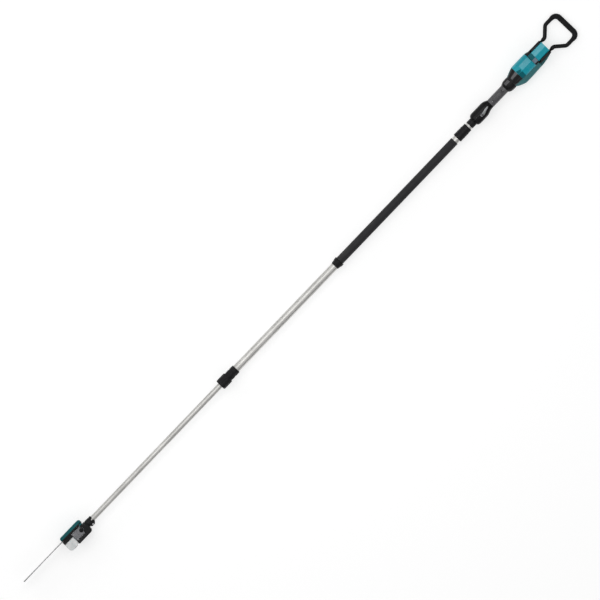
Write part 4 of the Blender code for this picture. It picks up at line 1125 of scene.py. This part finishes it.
def grip_collar():
    low, high = span("grip_collar")
    sizes = ((low, 29, 32.5, 34, 42), (393, 30, 33, 35, 43), (407, 29.4, 32, 33.6, 42.2),
             (413, 28.5, 31, 32, 41), (high, 22.5, 23.5, 24, 36))
    piece = swap("grip_collar", shell(ovals(sizes, 2.5, steps=96), 3, closed=True), edge=0.8, sharp=40)
    widths = ((low - 1, 29), *sizes[1:-1], (high + 1, 22.5))
    # Painted highlight: a grey band on the right of the collar.
    painted_highlight_band(piece, widths, (0.22, 0.66), 25, (low + 5, high - 12))
    core = lathe([(low - 6, 17.4), (high + 8, 17.4)], [(low - 6, 16), (high + 8, 16)], steps=48)
    add("neck_core", "handle", "black_plastic", core)


# Stations of the grip, each with the reach to the right, to the left, up and down.
GRIP_SIZES = ((427, 21.5, 21.5, 21, 34), (436, 21.2, 21.2, 20.7, 33.4), (446, 21, 21, 20.5, 33),
              (500, 21, 21, 20.5, 33), (525, 21, 21, 20.5, 34))


def half_ovals(sizes, side, rib=None):
    """The sections of a moulded half."""
    start = -90 * side
    sections = ovals(sizes, 4, start, start + 180, 40, rib)
    return [(s, [(y + side * PARTING, z) for y, z in path]) for s, path in sections]


def grips():
    """The soft grip halves, with shallow finger ribs low on their sides."""
    pivot = centre_of("trigger_pin")

    def ribs(a):
        return -0.5 * max(0, cos(radians(a * 6))) if -80 < a < -25 or 205 < a < 260 else 0

    for side, name in SIDES:
        sections = half_ovals(GRIP_SIZES, side, ribs)
        cutters = [
            block((461, -7, -50), (522, 7, -24)),
            block((440, -6, 14), (513, 6, 30)),
            rod(-14, 14, 2.3, at=pivot, axis="Y", steps=24, soft=0.05),
        ]
        swap(f"grip_{name}", shell(sections, 3), cutters=cutters, sharp=45)


def trigger():
    pivot = centre_of("trigger_pin")
    hub = circle(5, steps=10, start=radians(60), turn=-radians(130))
    finger = [(-5, -15), (-14, -18.5), (-26, -17.5), (-38, -13), (-44, -9.5), (-42, -8), (-12, -7)]
    outline = rounded_path(hub + finger, 3.5, 4, True)
    form = plate(outline, -5.5, 5.5, "Y", pivot, holes=[circle(2.3, steps=16)])
    swap("trigger", form, edge=1.4, segments=4)


def lock_lever():
    low, high = reach("lock_lever")
    rear, width = low.x + 4, (high.y - low.y) / 2
    outline = [(-4, -3), (3, -3), (10, 3), (62, 6), (63, 9), (56, 12), (10, 11), (-2, 6)]
    form = plate(rounded_path(outline, 2.5, 4, True), -width, width, "Y", (rear, 0, low.z + 3))
    swap("lock_lever", form, "grey_plastic", edge=1.2, segments=3)
    ribs = bmesh.new()
    for k in range(6):
        x = rear + 36 + 3.4 * k
        z = low.z + 3 + 11 + (k * 3.4 + 26) / 46
        rod(-3.9, 3.9, 0.7, at=(x, 0, z - 0.25), axis="Y", steps=16, soft=0.3, form=ribs)
    add("lever_ribs", "lock_lever", "black_plastic", ribs, "grey_plastic")


# The same for the bulb.
BULB_SIZES = ((525.3, 22, 21, 21, 34), (534, 26.5, 21.3, 24, 36), (546, 31, 23, 28, 38),
              (562, 32, 28.3, 30, 38), (574, 32, 30.5, 30, 38), (618, 32, 31, 30, 38),
              (631, 29, 28.5, 27, 33), (637, 23, 23, 22.5, 24))


# How far the power button's axis leans to the left, in degrees.
BUTTON_LEAN = 11


def bulb():
    centre = centre_of("power_button")
    lean = Matrix.Rotation(radians(-BUTTON_LEAN), 4, "X")
    up = lean @ Vector((0, 0, 1))
    screws = bmesh.new()
    for side, name in SIDES:
        sections = half_ovals(BULB_SIZES, side)
        cutters = []
        if side > 0:
            cutters.append(rod(-9, 9, 4.4, at=centre, axis=lean, steps=32, soft=0.05))
        for x, z in ((552, -22), (612, -20)):
            y = side * (sizes_at(BULB_SIZES, x)[1 if side > 0 else 0] * 0.86)
            cutters.append(rod(-2, 9, 3.9, at=(x, y, z), axis=OUTWARD[side], steps=32, soft=0.2))
            rod(-8, -1.4, 3.8, at=(x, y, z), axis=OUTWARD[side], steps=24, soft=0.1, form=screws)
            screw(screws, (x, y - side * 1.4, z), OUTWARD[side], 2.9, 0.9)
        swap(f"fore_housing_{name}", shell(sections, 3), cutters=cutters, coat="glossy_black", sharp=40)
    add("fore_housing_screws", "handle", "steel", screws, "turned_steel")
    control_panel(centre, lean)
    button = [(-3, 0), (-3, 3.8), (2.6, 3.8), (3.6, 3.1), (3.2, 1.8), (2.9, 0)]
    swap("power_button", lathe(button, at=centre, axis=lean, steps=48, soft=0.5))
    ring = [(-0.4, 5.6), (1.5, 5.4), (2.1, 5.0), (2.1, 4.5)]
    bezel = lathe(ring, [(-0.4, 4.4), (2.1, 4.4)], at=centre + up * 0.4, axis=lean, steps=48, soft=0.3)
    add("button_bezel", "handle", "black_plastic", bezel, "panel_metal")


# The silver panel's angles round the pole at its stations.
PANEL_STATIONS = (542, 562, 580, 598)
PANEL_LOW = (84, 76, 65, 66)
PANEL_HIGH = (93, 91, 87, 86)
# How far the panel stands proud of the bulb's section.
PANEL_LIFT = 1.7


def control_panel(centre, lean):
    """A silver wedge on the bulb's upper left, from a point near the grip to a broad end at the button."""
    low, high = span("control_panel")
    sections = []
    for i in range(25):
        along = low + (high - low) * i / 24
        start = float(np.interp(along, PANEL_STATIONS, PANEL_LOW))
        end = float(np.interp(along, PANEL_STATIONS, PANEL_HIGH))
        round_off = 3.5 * max(0.0, (along - high + 6) / 6) ** 2
        sizes = [size + PANEL_LIFT for size in sizes_at(BULB_SIZES, along)]
        sections.append((along, oval(sizes, start + round_off, end - round_off, 14)))
    form = bmesh.new()
    outer = [[Vector((s, *p)) for p in path] for s, path in sections]
    inner = [[Vector((s, *p)) for p in inset_plain(path, 1.5)] for s, path in sections]
    loops = [a + b[::-1] for a, b in zip(outer, inner)]
    skin(form, loops)
    hole = rod(-9, 9, 5.7, at=centre, axis=lean, steps=40, soft=0.05)
    swap("control_panel", form, cutters=[hole], edge=0.35, edge_angle=50, segments=2)
    lamps = bmesh.new()
    along = centre.x - 14
    for angle in (75, 80, 85):
        sizes = [size + PANEL_LIFT for size in sizes_at(BULB_SIZES, along)]
        y, z = oval(sizes, angle, angle + 10, 2)[0]
        turn = Matrix.Rotation(-atan2(y, z), 4, "X")
        lathe([(-0.8, 0), (-0.8, 0.8), (0.35, 0.8), (0.5, 0)],
              at=(along, y, z), axis=turn, steps=20, soft=0.25, form=lamps)
    add("charge_lamps", "handle", "tank_plastic", lamps, "lamp_lens")


def inset_plain(path, depth):
    """A path moved towards the pole's axis."""
    return [tuple(Vector(p) * (1 - depth / Vector(p).length)) for p in path]


# ---------------------------------------------------------------- pole


# The play between a tube and what it goes through.
PLAY = 0.25


def tube_radius(node):
    return reach(node)[1].y


def collar(node, profile, bore, coat=None, soft=0.7):
    """A turned collar on the pole, with a plain bore along its whole length."""
    swap(node, lathe(profile, [(profile[0][0], bore), (profile[-1][0], bore)], soft=soft), coat)


def pole():
    radius = tube_radius("outer_tube")
    low, high = span("outer_tube")
    bore = radius + PLAY
    collar("outer_tube", [(low, radius), (high, radius)], radius - 1.5, soft=0.4)
    low, high = span("inner_tube")
    thin = tube_radius("inner_tube")
    collar("inner_tube", [(low, thin), (high, thin)], thin - 1.5, soft=0.4)
    low, high = span("pole_ferrule")
    ferrule = [(low, 19.4), (low + 2, 20.4), (high - 10, 20.4), (high - 9.4, 19.9), (high - 7.6, 19.9),
               (high - 7, 20.4), (high - 2, 20.4), (high, 19.2)]
    collar("pole_ferrule", ferrule, bore)
    low, high = span("grip_sleeve")
    sleeve = [(low, 19.4), (low + 2, 20.5), (low + 9, 20.5)]
    for first in (low + 9, high - 20):
        for x in (first + 4 * k for k in range(3)):
            sleeve += [(x, 20.5), (x + 0.6, 20.0), (x + 1.8, 20.0), (x + 2.4, 20.5)]
    sleeve += [(high - 2, 20.5), (high, 19.4)]
    collar("grip_sleeve", sleeve, bore, "sleeve_rubber")
    low, high = span("sleeve_end_ring")
    ring = [(low, 23.6), (low + 2.5, 25), (low + 5, 25), (low + 5.6, 24.4), (low + 7, 24.4),
            (low + 7.6, 25), (low + 10, 25), (low + 20, 22.4), (low + 32, 20.2), (high, 19.3)]
    collar("sleeve_end_ring", ring, bore)


def hanger():
    low, high = span("hanger_collar")
    bore = tube_radius("outer_tube") + PLAY
    outer = [(0, 21.2), (2, 22), (20, 22), (21, 23.3), (29, 23.3), (30, 22.4), (43, 22.6), (44, 23.6),
             (52, 23.6), (53, 22.8), (70, 23.5), (73, 22.4)]
    outer = [(low + along, r) for along, r in outer]

    def flutes(along, angle):
        """Grooves along the collar between its bands."""
        off_bands = low + 4 < along < low + 18 or low + 56 < along < high - 4
        return 0.5 * max(0.0, cos(12 * angle)) if off_bands else 0

    form = lathe(outer, [(low, bore), (high, bore)], steps=120, soft=0.8, wave=flutes)
    swap("hanger_collar", form)
    pivot_x = middle_x("hanger_ring")
    lug_z = -29
    outline = rounded_path([(-8, 7.5), (-6, -3), (-3, -6), (3, -6), (6, -3), (8, 7.5)], 2, 3, True)
    lug = plate(outline, -4, 4, "Y", (pivot_x, 0, lug_z), holes=[circle(2.9, steps=24)])
    add("hanger_lug", "handle", "black_plastic", lug, edge=0.9)
    bolt = bmesh.new()
    screw(bolt, (pivot_x, 22.8, 0), "Y", 3.0, 0.9)
    screw(bolt, (pivot_x, -22.8, 0), "-Y", 3.0, 0.9)
    add("hanger_screws", "handle", "steel", bolt, "turned_steel")
    half, drop, wire = 15, 24, 2
    corners = [(0, 0, 0), (half, 0, 4), (half, -drop, 11), (-half, -drop, 11), (-half, 0, 4), (-0.5, 0, 0)]
    path = [(pivot_x, y, lug_z + z) for y, z in filleted(corners, 10)]
    swap("hanger_ring", swept(path, lambda i, s: wire, 20, closed=True), "turned_steel")


def twist_lock():
    low, high = span("clamp_neck")
    bore = tube_radius("outer_tube") + PLAY
    tube_end = span("outer_tube")[1] + 1.5
    neck = [(low, 20.6), (low + 2, 22.4), (low + 9, 22.4), (low + 11, 23.2), (low + 21, 23.2),
            (low + 23, 22), (low + 30, 22), (low + 32, 23.2), (low + 42, 23.2), (low + 44, 22.4),
            (tube_end, 22), (high, 22)]
    inner = [(low, bore), (tube_end, bore), (tube_end, 20.6), (high, 20.6)]

    def flats(along, angle):
        """Shallow hollows round each band of the neck."""
        on_band = low + 11 < along < low + 21 or low + 32 < along < low + 42
        return 0.7 * max(0.0, cos(8 * angle)) ** 2 if on_band else 0

    form = lathe(neck, inner, steps=128, soft=0.8, wave=flats)
    swap("clamp_neck", form)
    low, high = span("lock_barrel")
    big = reach("lock_barrel")[1].z
    outer = [(low, 25), (low + 2, 26.6), (low + 7, big), (high - 7, big), (high - 2.5, 26.2), (high, 23.5)]
    inner = [(low, 22.4), (low + 25, 22.4), (low + 25, 20.6), (high - 7.5, 20.6), (high - 7.5, 14.2),
             (high, 14.2)]
    groove = 1.5

    def flutes(along, angle):
        """Six broad finger flutes with fine ribs between them."""
        fade = share_of(along, low + 5, low + 12) * (1 - share_of(along, high - 13, high - 5))
        broad = groove * max(0.0, cos(6 * angle + pi) - 0.45) / 0.55
        fine = 0.28 * max(0.0, cos(60 * angle))
        return fade * max(broad, fine)

    outer[3:3] = [(low + 7 + (high - 14 - low) * k / 10, big) for k in range(1, 10)]
    swap("lock_barrel", lathe(outer, inner, steps=240, soft=0.8, wave=flutes))


# ---------------------------------------------------------------- saw head


def head_clamp():
    low, high = span("head_clamp")
    outer = [(low, 0), (low, 16.6), (low + 2, 18), (low + 10, 18), (low + 10.8, 17.3), (low + 13, 17.3),
             (low + 13.8, 18.1), (high - 4, 18.5), (high, 18.5), (high, 0)]
    form = lathe(outer, steps=72, soft=0.6)
    core = rod(low - 5, high + 5, tube_radius("inner_tube") + PLAY, steps=72, soft=0.05)
    slit = block((low - 2, 10, -1), (high + 2, 30, 1.2))
    outline = [(low - 7, -10), (low + 11, -1.5), (low + 11, 1.5), (low - 7, 10)]
    notch = plate(outline, 0, 60, "Z")
    swap("head_clamp", form, cutters=[core, slit, notch])
    ears = bmesh.new()
    bolt_x, bolt_y, _ = centre_of("clamp_bolt")
    corners = [(-12, -6.5), (13, -6.5), (13, 1), (9, 4.5), (-8, 4.5), (-12, 1)]
    outline = rounded_path(corners, 3, 4, True)
    for z in ((-9.2, -1), (1.2, 9.2)):
        plate(outline, z[0], z[1], "Z", (bolt_x, bolt_y, 0), holes=[circle(3.1, steps=24)], form=ears)
    add("clamp_ears", "inner_pole", "black_plastic", ears, edge=0.8)
    bolt_form = bmesh.new()
    lathe([(-10, 0), (-10, 2.4), (9.6, 2.4), (9.6, 4.2), (13, 4.2), (13, 2), (10.8, 2), (10.8, 0)],
          at=(bolt_x, bolt_y, 0), axis="Z", steps=48, soft=0.3, form=bolt_form)
    swap("clamp_bolt", bolt_form, "turned_steel")


# Stations of the head's housing, and of the box that stands on it.
HEAD_REAR = 3229
BOX_REAR = 3244
BOX_FRONT = 3316


def head_housing():
    low, high = reach("head_housing")
    bottom, top = low.z, high.z
    corners = [(HEAD_REAR, -14), (HEAD_REAR + 4, -19), (BOX_REAR, -19), (BOX_REAR, 22), (BOX_FRONT, 22),
               (BOX_FRONT, 38.5), (BOX_REAR - 4, 38.5), (HEAD_REAR + 3, 34), (HEAD_REAR, 27)]
    form = plate(rounded_path(corners, 2.2, 3, True), bottom, top, "Z")
    shaft = rod(low.x - 9, low.x + 21, 10, steps=48, soft=0.05)
    cutters = [shaft]
    for k in range(5):
        z = -44 + 12 * k
        cutters.append(block((low.x + 24, 36.9, z), (high.x - 8, 41, z + 5)))
    swap("head_housing", form, cutters=cutters, edge=2.4, segments=4, coat="glossy_black", sharp=35)
    plug_x = middle_x("grease_plug")
    hollow = circle(12.2, (plug_x, 0), 20, radians(105), radians(150))
    hood_rear = BOX_REAR - 0.5
    hood = [(hood_rear, -18), (plug_x - 3, -18), *hollow[::-1], (plug_x - 3, 22.5), (hood_rear, 22.5)]
    case_top = reach("gear_case")[1].z
    add("head_hood", "inner_pole", "black_plastic", plate(hood, case_top - 0.5, top, "Z"), "glossy_black",
        edge=0.9, segments=3)
    ribs = bmesh.new()
    for k in range(4):
        x = low.x + 26 + 13 * k
        block((x, 25, top - 1), (x + 2.2, 35.5, top + 0.7), ribs)
    add("head_ribs", "inner_pole", "black_plastic", ribs, edge=0.6, segments=2)


def gear_case():
    low, high = reach("gear_case")
    form = block(low, high)
    axle_x = middle_x("drive_sprocket")
    plug_x = middle_x("grease_plug")
    cutters = [
        rod(low.x - 4, low.x + 12, 13, steps=48, soft=0.05),
        rod(-15, 17, 24, at=(axle_x, 0, 0), axis="Y", steps=48, soft=0.05),
        rod(-25, 0, 6, at=(axle_x, 0, 0), axis="Y", steps=32, soft=0.05),
        rod(10, 44, 8, at=(plug_x, 0, 0), axis="Z", steps=32, soft=0.05),
    ]
    swap("gear_case", form, cutters=cutters, edge=4.5, segments=5, sharp=35)
    ribs = bmesh.new()
    for k in range(5):
        y = -14 + 7 * k
        block((plug_x + 14, y, high.z - 1), (high.x - 4, y + 1.8, high.z + 1.4), ribs)
    block((low.x + 4, -15.5, high.z - 1), (high.x - 3, -13.5, high.z + 1.6), ribs)
    lathe([(high.z - 1, 11.6), (high.z + 0.4, 11.6)], [(high.z - 1, 10.8), (high.z + 0.4, 10.8)],
          at=(plug_x, 0, 0), axis="Z", steps=48, soft=0.2, form=ribs)
    for k in range(7):
        x = low.x + 6 + 9 * k
        block((x, 4, low.z - 0.9), (x + 2, 17, low.z + 1), ribs)
    add("case_ribs", "inner_pole", "cast_metal", ribs, edge=0.5, segments=2)
    screws = bmesh.new()
    for x, y in ((high.x - 8, 17), (high.x - 8, -9.5), (low.x + 6.5, 17.2)):
        screw(screws, (x, y, high.z), "Z", 3.0, 1.2)
    add("case_screws", "inner_pole", "steel", screws, "turned_steel")

    def knurl(along, angle):
        return 0.5 * max(0.0, cos(16 * angle)) if along > 33.6 else 0

    profile = [(28, 0), (28, 7.6), (33.4, 7.6), (33.4, 10.5), (38.4, 10.5), (40, 9), (40, 5), (38.9, 4),
               (38.9, 0)]
    swap("grease_plug", lathe(profile, at=(plug_x, 0, 0), axis="Z", wave=knurl), "rubber")


def bar_plate():
    low, high = reach("bar_plate")
    axle_x = middle_x("drive_sprocket")
    outline = rounded_path([(low.x, -50), (high.x, -50), (high.x, 30), (low.x, 30)], 7, 5, True)
    form = plate(outline, -23, -19.4, "Y", holes=[circle(6, (axle_x, 0), 24)])
    lip_rear = BOX_FRONT + 0.4
    lip = rounded_path([(lip_rear, -46), (high.x - 1, -46), (high.x - 1, 27), (lip_rear, 27)], 5, 4, True)
    plate(lip, -22.5, -6.5, "Y", form=form)
    swap("bar_plate", form, edge=0.9, coat="glossy_black")
    teeth = bmesh.new()
    for k in range(4):
        z = -38 + 7 * k
        plate([(high.x - 2, z), (high.x - 0.2, z + 2.4), (high.x - 2, z + 4.8)], -17, -9, "Y", form=teeth)
    add("bumper_teeth", "inner_pole", "steel", teeth, "turned_steel", edge=0.2, segments=2)


NOSE_R = 15.0
BAR_TAPER = 80.0


def bar_outline(grow, half):
    """The front of the bar's outline grown by a margin: a long taper to a round nose."""
    centre = middle_x("nose_sprocket")
    start = centre - BAR_TAPER
    lower = []
    for i in range(17):
        t = i / 16
        lower.append((start + BAR_TAPER * t, -(half + (NOSE_R - half) * t * t) - grow))
    nose = circle(NOSE_R + grow, (centre, 0), 28, -pi / 2, pi)[1:-1]
    return lower + nose + [(x, -z) for x, z in reversed(lower)]


def bar_loop(grow, half, tail):
    """The whole outline of one of the bar's plates."""
    step = tail + 14
    back = [(step, half + grow), (tail - grow, 13), (tail - grow, -13), (step, -half - grow)]
    return bar_outline(grow, half) + back


def guide_bar():
    low, high = reach("guide_bar")
    half = high.z
    y = (low.y + high.y) / 2
    nut_x = middle_x("bar_nut")
    slot = circle(4.3, (nut_x + 14, 0), 12, -pi / 2, pi) + circle(4.3, (nut_x - 14, 0), 12, pi / 2, pi)
    nose_x = middle_x("nose_sprocket")
    rivets = [(nose_x - 6 * cos(tau * k / 5), 6 * sin(tau * k / 5)) for k in range(5)]
    windows = [circle(2.1, (low.x + 34, side * 14), 16) for side in (1, -1)]
    form = bmesh.new()
    for near, far in ((-1.7, -0.75), (0.75, 1.7)):
        plate(bar_loop(0, half, low.x), near, far, "Y", (0, y, 0), holes=[slot, *windows], form=form)
    plate(bar_loop(-5, half, low.x), -0.76, 0.76, "Y", (0, y, 0), holes=[slot], form=form)
    swap("guide_bar", form, edge=0.25, segments=2)
    wear = bmesh.new()
    for x, z in rivets:
        for side in (1, -1):
            lathe([(0, 0), (0, 1.9), (0.22, 1.7), (0.22, 0)], at=(x, y + side * 1.68, z),
                  axis=OUTWARD[side], steps=24, soft=0.1, form=wear)
    for k in range(7):
        x = nut_x + 46 + 29 * k
        for side in (1, -1):
            lathe([(0, 0), (0, 1.3), (0.12, 1.2), (0.12, 0)], at=(x, y + side * 1.69, 0 if k % 2 else 9),
                  axis=OUTWARD[side], steps=16, soft=0.05, form=wear)
    add("bar_rivets", "inner_pole", "steel", wear, "turned_steel")


# How far the chain's rivets run outside the bar, and from one to the next.
CHAIN_LIFT = 3.1
CHAIN_PITCH = 9.2


def chain_route():
    """The rivets' line round the bar and the drive sprocket, as points and a function of distance."""
    half = reach("guide_bar")[1].z
    axle_x = middle_x("drive_sprocket")
    gear = span("drive_sprocket")
    tail = span("guide_bar")[0]
    body = bar_outline(CHAIN_LIFT, half)
    wrap = circle((gear[1] - gear[0]) / 2 + CHAIN_LIFT + 0.4, (axle_x, 0), 28, radians(80), radians(200))
    onto = tail + 15
    points = [Vector(p) for p in body + [(onto, half + CHAIN_LIFT)] + wrap + [(onto, -half - CHAIN_LIFT)]]
    lengths = [0.0]
    for a, b in zip(points, points[1:] + points[:1]):
        lengths.append(lengths[-1] + (b - a).length)

    def at(distance):
        distance %= lengths[-1]
        for i, (low, high) in enumerate(zip(lengths, lengths[1:])):
            if distance <= high:
                return points[i].lerp(points[(i + 1) % len(points)], (distance - low) / (high - low))
        return points[0]

    return at, lengths[-1]


def link_plate(form, a, b, outline, near, far, y):
    """A flat link between two rivets: the outline's u runs from a to b in units of their distance."""
    along = b - a
    pitch = along.length
    along.normalize()
    out = Vector((along.y, -along.x))
    points = [a + along * (u * pitch) + out * v for u, v in outline]
    plate([tuple(p) for p in points], near, far, "Y", (0, y, 0), form=form)


def saw_chain():
    """Separate drive links, tie straps and cutters with rivets, on the path of the CAD band.

    The links' pattern is eight rivets long, so their count is a multiple of eight.
    """
    at, total = chain_route()
    low, high = reach("saw_chain")
    y = (low.y + high.y) / 2
    count = round(total / CHAIN_PITCH / 8) * 8
    rivets = [at(total * k / count) for k in range(count)]
    form = bmesh.new()
    strap = rounded_path([(-0.28, -2.3), (1.28, -2.3), (1.28, 1.0), (0.8, 2.0), (0.2, 2.0), (-0.28, 1.0)],
                         1.4, 3, True)
    drive = rounded_path([(-0.25, 1.9), (1.25, 1.9), (1.22, -1.6), (0.72, -5.4), (0.5, -5.6), (0.05, -2.2),
                          (-0.25, -1.6)], 1.0, 2, True)
    tooth = rounded_path([(-0.3, -2.3), (1.3, -2.3), (1.34, 0.8), (1.26, 3.4), (1.06, 3.5), (0.86, 1.4),
                          (0.66, 1.6), (0.56, 4.1), (-0.22, 3.2), (-0.34, 0.2)], 0.5, 2, True)
    for k in range(0, count, 2):
        a, b, c = rivets[k], rivets[(k + 1) % count], rivets[(k + 2) % count]
        link_plate(form, a, b, drive, -0.65, 0.65, y)
        pattern = (k // 2) % 4
        for side in (1, -1):
            near, far = sorted((side * 0.75, side * 2.3))
            cutting = pattern == (0 if side > 0 else 2)
            link_plate(form, b, c, tooth if cutting else strap, near, far, y)
            if cutting:
                top = [(0.52, 3.3), (0.56, 4.1), (-0.22, 3.2), (-0.2, 2.4)]
                across = sorted((side * 2.9, -side * 1.2))
                link_plate(form, b, c, top, across[0], across[1], y)
    for point in rivets:
        lathe([(-3, 0), (-3, 1.0), (-2.2, 1.5), (2.2, 1.5), (3, 1.0), (3, 0)], at=(point.x, y, point.y),
              axis="Y", steps=14, soft=0.1, form=form)
    swap("saw_chain", form, "turned_steel", sharp=30)


def rounded_rectangle(low_x, high_x, low_z, high_z, rear, front):
    points = circle(front, (high_x - front, low_z + front), 8, -pi / 2, pi / 2)
    points += circle(front, (high_x - front, high_z - front), 8, 0, pi / 2)
    points += circle(rear, (low_x + rear, high_z - rear), 12, pi / 2, pi / 2)
    points += circle(rear, (low_x + rear, low_z + rear), 12, pi, pi / 2)
    return points


def sprocket_cover():
    low, high = reach("sprocket_cover")
    nut_x = middle_x("bar_nut")
    axle_x = middle_x("drive_sprocket")

    def outline(grow, y):
        points = rounded_rectangle(low.x - grow, high.x + grow, low.z - grow, high.z + grow, 24 + grow,
                                   max(10 + grow, 1.5))
        return [Vector((x, y, z)) for x, z in points]

    outer, inner = low.y, high.y
    rim = outer + 15
    levels = [(-4, outer + 4), (-4, inner), (-0.9, inner), (0, inner - 1.2), (0, rim), (0, outer + 11),
              (-1.3, outer + 6.5), (-4, outer + 2.8), (-7.5, outer + 0.9), (-12, outer)]
    form = bmesh.new()
    skin(form, [outline(grow, y) for grow, y in levels])
    mouth = block((high.x - 8, outer + 8, -30), (high.x + 5, inner + 3, 30))
    seat = lathe([(-60, 0), (-60, 11), (outer + 5.7, 11), (outer + 5.7, 4.6), (-20, 4.6), (-20, 0)],
                 at=(nut_x, 0, 0), axis="Y", steps=48, soft=0.05)
    grooves = []
    for k in range(4):
        x = axle_x - 22 + 9 * k
        groove = rounded_path([(x, -34), (x + 4, -34), (x + 10, 16), (x + 6, 16)], 1.6, 3, True)
        grooves.append(plate(groove, outer - 2, outer + 0.9, "Y"))
    cover = swap("sprocket_cover", form, cutters=[mouth, seat, *grooves], sharp=32)
    repaint(cover, "glossy_black", lambda p: p.y > rim)
    tab = block((low.x + 3, inner - 2, high.z - 4), (low.x + 19, inner + 5, high.z - 1))
    add("cover_tab", "inner_pole", "head_teal", tab, edge=0.8)
    # A black seal under the bar at the cover's foot, partly painted shade: it darkens the gap between plate
    # and cover that would show the floor.
    shade_seal = block((low.x + 6, inner - 0.8, low.z + 0.6), (high.x - 6, inner + 1.3, low.z + 4))
    add("cover_seal_painted_shade", "inner_pole", "black_plastic", shade_seal, edge=0.3)
    nut_low, nut_high = (corner.y for corner in reach("bar_nut"))
    hexagon = circle(8, steps=6)
    nut_form = plate(hexagon, nut_low, nut_low + 5.2, "Y", (nut_x, 0, 0))
    collar_low, collar_high = nut_low + 4.4, nut_low + 5.4
    profile = [(collar_low, 0), (collar_low, 9.4), (collar_high, 9.8), (collar_high, 3.6), (nut_high, 3.6),
               (nut_high, 0)]
    lathe(profile, at=(nut_x, 0, 0), axis="Y", steps=48, soft=0.25, form=nut_form)
    swap("bar_nut", nut_form, "turned_steel", edge=0.5, edge_angle=50, segments=2)


def oil_tank():
    low, high = reach("oil_tank")
    bottom, top = low.z, high.z
    cap_x, _, cap_z = centre_of("oil_cap")

    def outline(wall):
        round_r = 14 - wall
        corner = circle(round_r, (high.x - wall - round_r, high.y - wall - round_r), 14, 0, pi / 2)
        low_x, low_y = low.x + wall, low.y + wall
        return [(high.x - wall, low_y)] + corner + [(low_x, high.y - wall), (low_x, low_y)]

    form = plate(outline(0), bottom, top, "Z")
    inside = plate([(x, min(y, 24)) for x, y in outline(2.5)], bottom + 2.5, top - 2.5, "Z")
    neck = rod(15, 46, 11, at=(cap_x, 0, cap_z), axis="Y", steps=48, soft=0.05)
    recess = rod(30, 50, 15, at=(cap_x, 0, cap_z), axis="Y", steps=48, soft=0.05)
    swap("oil_tank", form, cutters=[inside, neck, recess], edge=3.2, segments=5, sharp=40)

    def knurl(along, angle):
        return 0.6 * max(0.0, cos(20 * angle)) if 30.8 < along < 33.9 else 0

    cap = lathe([(20, 0), (20, 10.4), (30.4, 10.4), (30.4, 13), (33.2, 13), (34.5, 11.5), (34.5, 0)],
                at=(cap_x, 0, cap_z), axis="Y", steps=120, soft=0.5, wave=knurl)
    wing = rounded_path([(-10, -2), (10, -2), (10, 2), (-10, 2)], 1.8, 4, True)
    plate(wing, 33, reach("oil_cap")[1].y, "Y", (cap_x, 0, cap_z), form=cap)
    swap("oil_cap", cap, edge=0.3, edge_angle=60, segments=2)


# The CAD nodes without a fine piece that are turned parts.
TURNED = ("trigger_pin", "nose_sprocket", "drive_sprocket", "bevel_gear", "bevel_pinion", "coupling",
          "rotor", "rear_bearing")


def carried_over():
    """Better finishes for the CAD nodes that stay."""
    own = {"drive_tube": "steel", "drive_rod": "steel", **dict.fromkeys(TURNED, "turned_steel")}
    for name, node in frame["nodes"].items():
        if node.hide_render:
            continue
        coat = FINISH[own.get(name) or SLOT_OF[name]]
        node.data.materials.clear()
        node.data.materials.append(coat)
        node.data.shade_smooth()
        node.data.set_sharp_from_angle(angle=radians(32))


PIECES = (
    guard_loop, rear_cap, battery_frame, battery_rails, housing_halves, top_cover, front_housing,
    grip_collar, grips, trigger, lock_lever, bulb, pole, hanger, twist_lock, head_clamp, head_housing,
    gear_case, bar_plate, guide_bar, saw_chain, sprocket_cover, oil_tank, carried_over,
)


def build():
    camera()
    surroundings()
    floor()
    FINISH.update(coats())
    for make in PIECES:
        make()


build()
